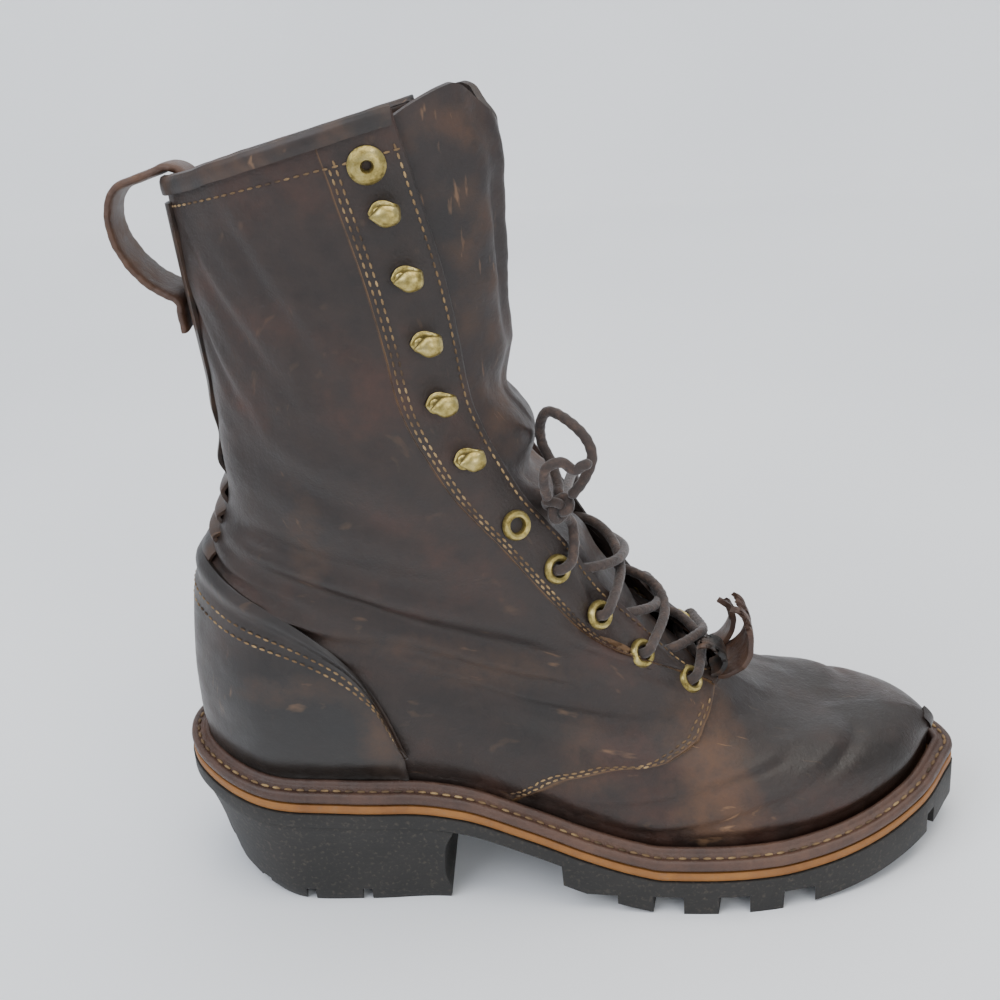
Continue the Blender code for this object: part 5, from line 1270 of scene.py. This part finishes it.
# half sections of the rings as radius and height in millimetres, from the bore outwards
EYELET_PROFILE = [(2.6, 0.9), (3.0, 1.7), (3.8, 2.05), (4.7, 1.7), (5.2, 0.7), (5.2, 0.1), (3.25, 0.1),
                  (3.2, -3.3), (2.6, -3.4)]
TOP_PROFILE = [(1.5, 1.6), (2.1, 2.7), (3.4, 2.75), (5.0, 2.0), (6.0, 0.8), (6.0, 0.1), (3.25, 0.1),
               (3.2, -3.3), (1.5, -3.4)]
eyelet_model = spin_profile("eyelet_model", EYELET_PROFILE)
top_model = spin_profile("top_eyelet_model", TOP_PROFILE)
for side, word in ((-1, "outer"), (1, "inner")):
    for k, level in enumerate(list(EYELET_LEVELS) + [TOP_EYELET_LEVEL]):
        label = f"{word}_{'top' if k == 5 else k + 1}"
        seat, normal = facing_seat(level, EYELET_INSET, side)
        ring = copy_to(top_model if k == 5 else eyelet_model, f"eyelet_ring_{label}", seat, normal)
        dress(ring, OLD_BRASS, "brass", f"eyelet_{label}", angle=35)
for model in (eyelet_model, top_model):
    bpy.data.objects.remove(model)


# %% Hooks
HOOK_GAP, HOOK_POINTS = 0.3 * MM, 72
# the hook's strip from its plate round to its tip: place, height and half width in millimetres
HOOK_PATH = [(-4.6, 0.75, 2.2), (-2.6, 0.7, 3.5), (0.6, 0.7, 3.5), (2.9, 1.0, 2.6), (4.3, 2.6, 2.3),
             (4.2, 4.9, 2.4), (2.9, 6.5, 2.9), (0.8, 6.9, 3.3), (-1.2, 6.5, 3.3), (-2.9, 5.4, 2.5), (-3.6, 4.6, 1.4)]


def hook_model():
    """A stamped hook: a plate on the leather, bent over into a rounded tongue, with a rivet."""
    table = smooth_line(HOOK_PATH, HOOK_POINTS) * MM
    spots = table[:, [0, 2, 1]] * (1, 0, 1) + (0, 0, HOOK_GAP)
    ahead = unit(np.gradient(table[:, :2], axis=0))
    ends = np.minimum(np.arange(HOOK_POINTS), np.arange(HOOK_POINTS)[::-1])
    wide = table[:, 2] * np.sqrt(1 - (1 - np.clip(ends / 15, 0.01, 1)) ** 2)

    def section(u, k, turn):
        share = np.sign(np.cos(turn)) * np.abs(np.cos(turn)) ** 0.7
        deep = np.sin(turn) * 0.6 * MM - 1.3 * MM * (1 - share**2) * ease((u - 0.55) / 0.15)
        return share * wide[k], deep

    across = np.tile([0.0, 1.0, 0.0], (HOOK_POINTS, 1))
    up = np.stack([-ahead[:, 1], np.zeros(HOOK_POINTS), ahead[:, 0]], -1)
    piece = sweep("hook_model", spots, across, up, section, 24, 0.02 * MM)
    bpy.ops.object.mode_set(mode="EDIT")
    bpy.ops.mesh.select_all(action="DESELECT")
    bpy.ops.mesh.primitive_uv_sphere_add(
        segments=16, ring_count=8, radius=1.9 * MM, location=(-1.6 * MM, 0, 1.2 * MM), scale=(1, 1, 0.55)
    )
    bpy.ops.object.mode_set(mode="OBJECT")
    outwards(piece)
    return piece


hook = hook_model()
for side, word in ((-1, "outer"), (1, "inner")):
    for k, level in enumerate(HOOK_LEVELS):
        seat, normal = facing_seat(level, EYELET_INSET, side)
        stamped = copy_to(hook, f"hook_stamped_{word}_{k + 1}", seat, normal, turned=side > 0)
        dress(stamped, OLD_BRASS, "brass", f"hook_{word}_{k + 1}", angle=35)
bpy.data.objects.remove(hook)

# %% [markdown]
# ## The laces
# A boot lace is a round braided cord, waxed and dusty. It comes up through an eyelet, crosses
# the tongue, dives under the other facing and comes up through the next eyelet. The braid is a
# real relief on a tube that follows the lace's line. The slack above the knot stands up stiffly
# in a bent loop, as old waxed laces do, and one short end hangs out of the knot.

# %% Lace tube
LACE_DIAMETER, BRAID_RELIEF = 3.6 * MM, 0.07
# how high each strand lies over the throat: the one that starts on the inner side crosses on top
PILES = {-1: 0.15 * MM, 1: 2.025 * MM}
KNOT_LEVEL, KNOT_SIDE, KNOT_SIZE = 0.672, -0.14, 10 * MM


def tube_piece(name, line, diameter):
    """A braided tube along a line of points, with ends that are cut and slightly rounded."""
    side = np.cross(unit(line[1] - line[0]), (0.3, 0.2, 0.9))
    across, up = [], []
    for way in unit(np.gradient(line, axis=0)):
        side = unit(side - way * side.dot(way))
        across.append(side)
        up.append(np.cross(way, side))
    run = run_along(line)
    taper = np.clip(np.minimum(run, run[-1] - run) / (0.35 * diameter), 0.08, 1) ** 0.5

    def section(u, k, turn):
        twist = run[k] / (1.9 * diameter) * 2 * np.pi
        weave = np.abs(np.sin(turn * 2 + twist)) + np.abs(np.sin(turn * 2 - twist))
        radius = diameter / 2 * taper[k] * (1 + BRAID_RELIEF * (weave - 1.27))
        return radius * np.cos(turn), radius * np.sin(turn)

    return sweep(name, line, np.array(across), np.array(up), section, 16, 0.01 * MM)


WAXED_BRAID = noise_finish(
    "waxed_lace_braid", {"Scale": 260.0, "Detail": 8.0, "Roughness": 0.75},
    [(0.30, "#1f1815"), (0.52, "#352721"), (0.75, "#5a4436")],
    grit={"Scale": 1400.0, "Detail": 3.0}, bump=(0.5, 0.5), Roughness=0.72, Sheen_Weight=0.25,
)


def over_throat(level, w, lift):
    """Point over the throat. w is 0 at its middle and runs to the inner side."""
    return skin(level, 1 - w if w >= 0 else -1 - w, lift)


def lace_route(start):
    """A strand from its lowest eyelet up to the knot, crossing the throat between eyelets."""
    top = QUARTER_STEP + FACING_STEP + CLEARANCE * 2 + LACE_DIAMETER / 2
    under = -WALL - LACE_DIAMETER * 0.45
    points, side = [], start
    for k in range(4):
        level = float(EYELET_LEVELS[k])
        hole = 1 - behind_edge(level, EYELET_INSET)
        edge = 1 - float(throat_edge(level))
        if k:
            points.append(over_throat(level - 0.010, side * edge * 0.75, top - 2.2 * MM))
            points.append(over_throat(level - 0.003, side * (edge * 0.5 + hole * 0.5), under))
        else:
            points.append(over_throat(level, 0.0, under + 1.0 * MM))
        points.append(over_throat(level, side * hole, under + 0.5 * MM))
        points.append(over_throat(level, side * hole, top + 0.3 * MM))
        points.append(over_throat(level + 0.008, side * (edge + hole) * 0.5, top + 0.4 * MM))
        if k < 3:
            nearest = (level + float(EYELET_LEVELS[k + 1])) / 2
            pile = PILES[start]
            points.append(over_throat(nearest - 0.004, side * edge * 0.30, top + pile))
            points.append(over_throat(nearest + 0.004, -side * edge * 0.25, top + pile))
            side = -side
    points.append(over_throat(KNOT_LEVEL - 0.02, side * 0.10, top + 1.0 * MM))
    points.append(knot_middle() - np.array([0, 0, 2.0 * MM]))
    return points


def knot_middle():
    """Where the lace is knotted, over the throat above its last crossing."""
    return over_throat(KNOT_LEVEL, KNOT_SIDE, QUARTER_STEP + FACING_STEP + KNOT_SIZE * 0.6)


# %% Laces, knot, loop and end
strands = [
    tube_piece(f"lace_strand_{word}", smooth_line(lace_route(side), 700), LACE_DIAMETER)
    for side, word in ((-1, "outer"), (1, "inner"))
]
only(strands[0])
strands[1].select_set(True)
bpy.ops.object.join()
laces = strands[0]
laces.name = laces.data.name = "lace_strands"
dress(laces, WAXED_BRAID, "lace", "laces", angle=60)

LOOP_ROUTE = [(4, -1, 4), (9, 0, 10), (12, 2, 17), (10, 5, 23), (4, 9, 28), (-2, 14, 29), (-5, 18, 23)]
LOOP_RETURN = [(-5, 20, 15), (-2, 18, 8), (0, 12, 3), (0, 7, 1)]
END_ROUTE = [(-3, -4, 5), (-4, -6, 12), (-3, -7, 18), (2, -7, 20), (6, -7, 17), (9, -8, 19), (12, -8, 20)]
centre = knot_middle()
t = np.linspace(0, 2 * np.pi, 90)
knot_line = np.stack([np.sin(t) + 2 * np.sin(2 * t), -np.sin(3 * t) * 1.1, np.cos(t) - 2 * np.cos(2 * t)], -1)
knot = tube_piece("lace_knot_turns", centre + knot_line * 1.45 * MM, LACE_DIAMETER * 0.92)
dress(knot, WAXED_BRAID, "lace", "lace_knot", angle=60)
for name, route, node, far, partners in (
    ("lace_bow_loop", LOOP_ROUTE + LOOP_RETURN, "lace_loop", "object", [knot]),
    ("lace_free_end", END_ROUTE, "lace_end", "bare", []),
):
    line = smooth_line([centre + np.array(spot) * MM for spot in route], 160)
    cord = tube_piece(name, line, LACE_DIAMETER)
    dress(cord, WAXED_BRAID, "lace", node, angle=60)

# %% [markdown]
# ## Stitching
# Every panel of a work boot is sewn with two or three rows of thick thread, which has worn to a
# pale tan. One stitch is a short, slightly flattened bead. Each row lays copies of it along a
# line on the pattern, at the real spacing of about three to the centimetre, four in the welt.


# %% Stitch rows
THREAD = noise_finish(
    "waxed_linen_thread", {"Scale": 90.0, "Detail": 6.0},
    [(0.34, "#3a2c20"), (0.50, "#6d563a"), (0.68, "#a58a60")], Roughness=0.8,
)
bpy.ops.object.select_all(action="DESELECT")
bpy.ops.mesh.primitive_uv_sphere_add(segments=6, ring_count=5, radius=1)
bead = bpy.context.object
BEAD = corners_of(bead)
BEAD_FACES = [tuple(face.vertices) for face in bead.data.polygons]
bpy.data.objects.remove(bead)


def sew(name, rows, finish, slot):
    """Stitches along rows. Each row has points, outward directions, spacing, length and width."""
    corners, faces = [], []
    for points, out, pitch, length, width in rows:
        run = run_along(points)
        places = np.arange(pitch / 2, run[-1], pitch)
        spots = np.stack([np.interp(places, run, points[:, k]) for k in range(3)], -1)
        ahead = unit(np.stack([np.interp(places + 0.3 * MM, run, points[:, k]) for k in range(3)], -1) - spots)
        up = np.stack([np.interp(places, run, out[:, k]) for k in range(3)], -1)
        across = unit(np.cross(up, ahead))
        for spot, way, side, top in zip(spots, ahead, across, up):
            shift = len(corners) * len(BEAD)
            shape = BEAD * (length / 2, width / 2, width / 2 * 0.8)
            corners.append(spot + shape[:, :1] * way + shape[:, 1:2] * side + shape[:, 2:] * top)
            faces += [tuple(i + shift for i in face) for face in BEAD_FACES]
    mesh = bpy.data.meshes.new(name)
    mesh.from_pydata(np.concatenate(corners).tolist(), [], faces)
    piece = bpy.data.objects.new(name, mesh)
    bpy.context.scene.collection.objects.link(piece)
    print(name, "has", len(corners), "stitches")
    return dress(piece, finish, slot, angle=60)


STITCH_LENGTH, STITCH_WIDTH, STITCH_LIFT, BAND_STITCHES = 2.3 * MM, 0.85 * MM, 0.1 * MM, 0.971
WELT_STITCH_INSET, WELT_STITCH_RISE = 3.25 * MM, 4.35 * MM


def upper_row(levels, ss, pitch=3.0):
    """A row of stitches over the upper's face, from places on the pattern."""
    line = smooth_line(np.stack([ss, levels], -1), 400)
    points = upper_place(line[:, 0], line[:, 1])
    out = last_normal(line[:, 1], place_of(line[:, 1], line[:, 0]))
    return points + out * STITCH_LIFT, out, pitch * MM, STITCH_LENGTH, STITCH_WIDTH


def inset_row(levels, edge_s, inset, side):
    """A row that keeps an inset, in millimetres, from a panel's edge at column edge_s."""
    ss = []
    for level in levels:
        near_edge = np.array([edge_s - 0.02 * np.sign(inset), edge_s])
        ends = last_point(level, place_of(level, near_edge))
        per_column = max(np.linalg.norm(ends[1] - ends[0]) / 0.02, 0.02)
        ss.append(side * (edge_s - inset * MM / per_column))
    return upper_row(levels, np.array(ss))


rows = []
for side in (-1, 1):
    shaft = np.linspace(0.52, 0.975, 24)
    rows.append(inset_row(shaft, KEY, -1.6, side))
    rows.append(inset_row(shaft, KEY, -3.6, side))
    rows.append(inset_row(np.linspace(0.475, 0.975, 24), 1.0, 2.6, side))
    foot = np.linspace(0.06, 0.45, 22)
    rows.append(inset_row(foot, KEY, 1.8, side))
    rows.append(inset_row(foot, KEY, 4.0, side))
rows.append(upper_row(np.full(40, BAND_STITCHES), np.linspace(-0.985, 0.985, 40), pitch=3.2))
sew("upper_stitches", rows, THREAD, "leather")

rows = []
for share in (0.855, 0.80):
    c = np.linspace(-COUNTER_REACH * 0.985, COUNTER_REACH * 0.985, 300)
    points, out = on_counter(share, c, 0.15 * MM)
    rows.append((points, out, 3.0 * MM, STITCH_LENGTH, STITCH_WIDTH))
sew("counter_stitches", rows, THREAD, "counter")

spot = plan(np.linspace(-1, 1, 1500), np.full(1500, WELT_STITCH_INSET))
height = seat_line(spot[:, 0]) + 1.5 * CLEARANCE + WELT_STITCH_RISE
points, out = np.column_stack([spot, height]), np.tile([0.0, 0.0, 1.0], (1500, 1))
sew("welt_stitches", [(points, out, 4.4 * MM, 3.4 * MM, 1.3 * MM)], THREAD, "welt")

# %% Finish for the solids that stay
for name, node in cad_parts.items():
    if not node.hide_render:
        node.data.materials.clear()
        node.data.materials.append(SOFT_LEATHER)
        print(name, "keeps its solid and gets a leather finish")
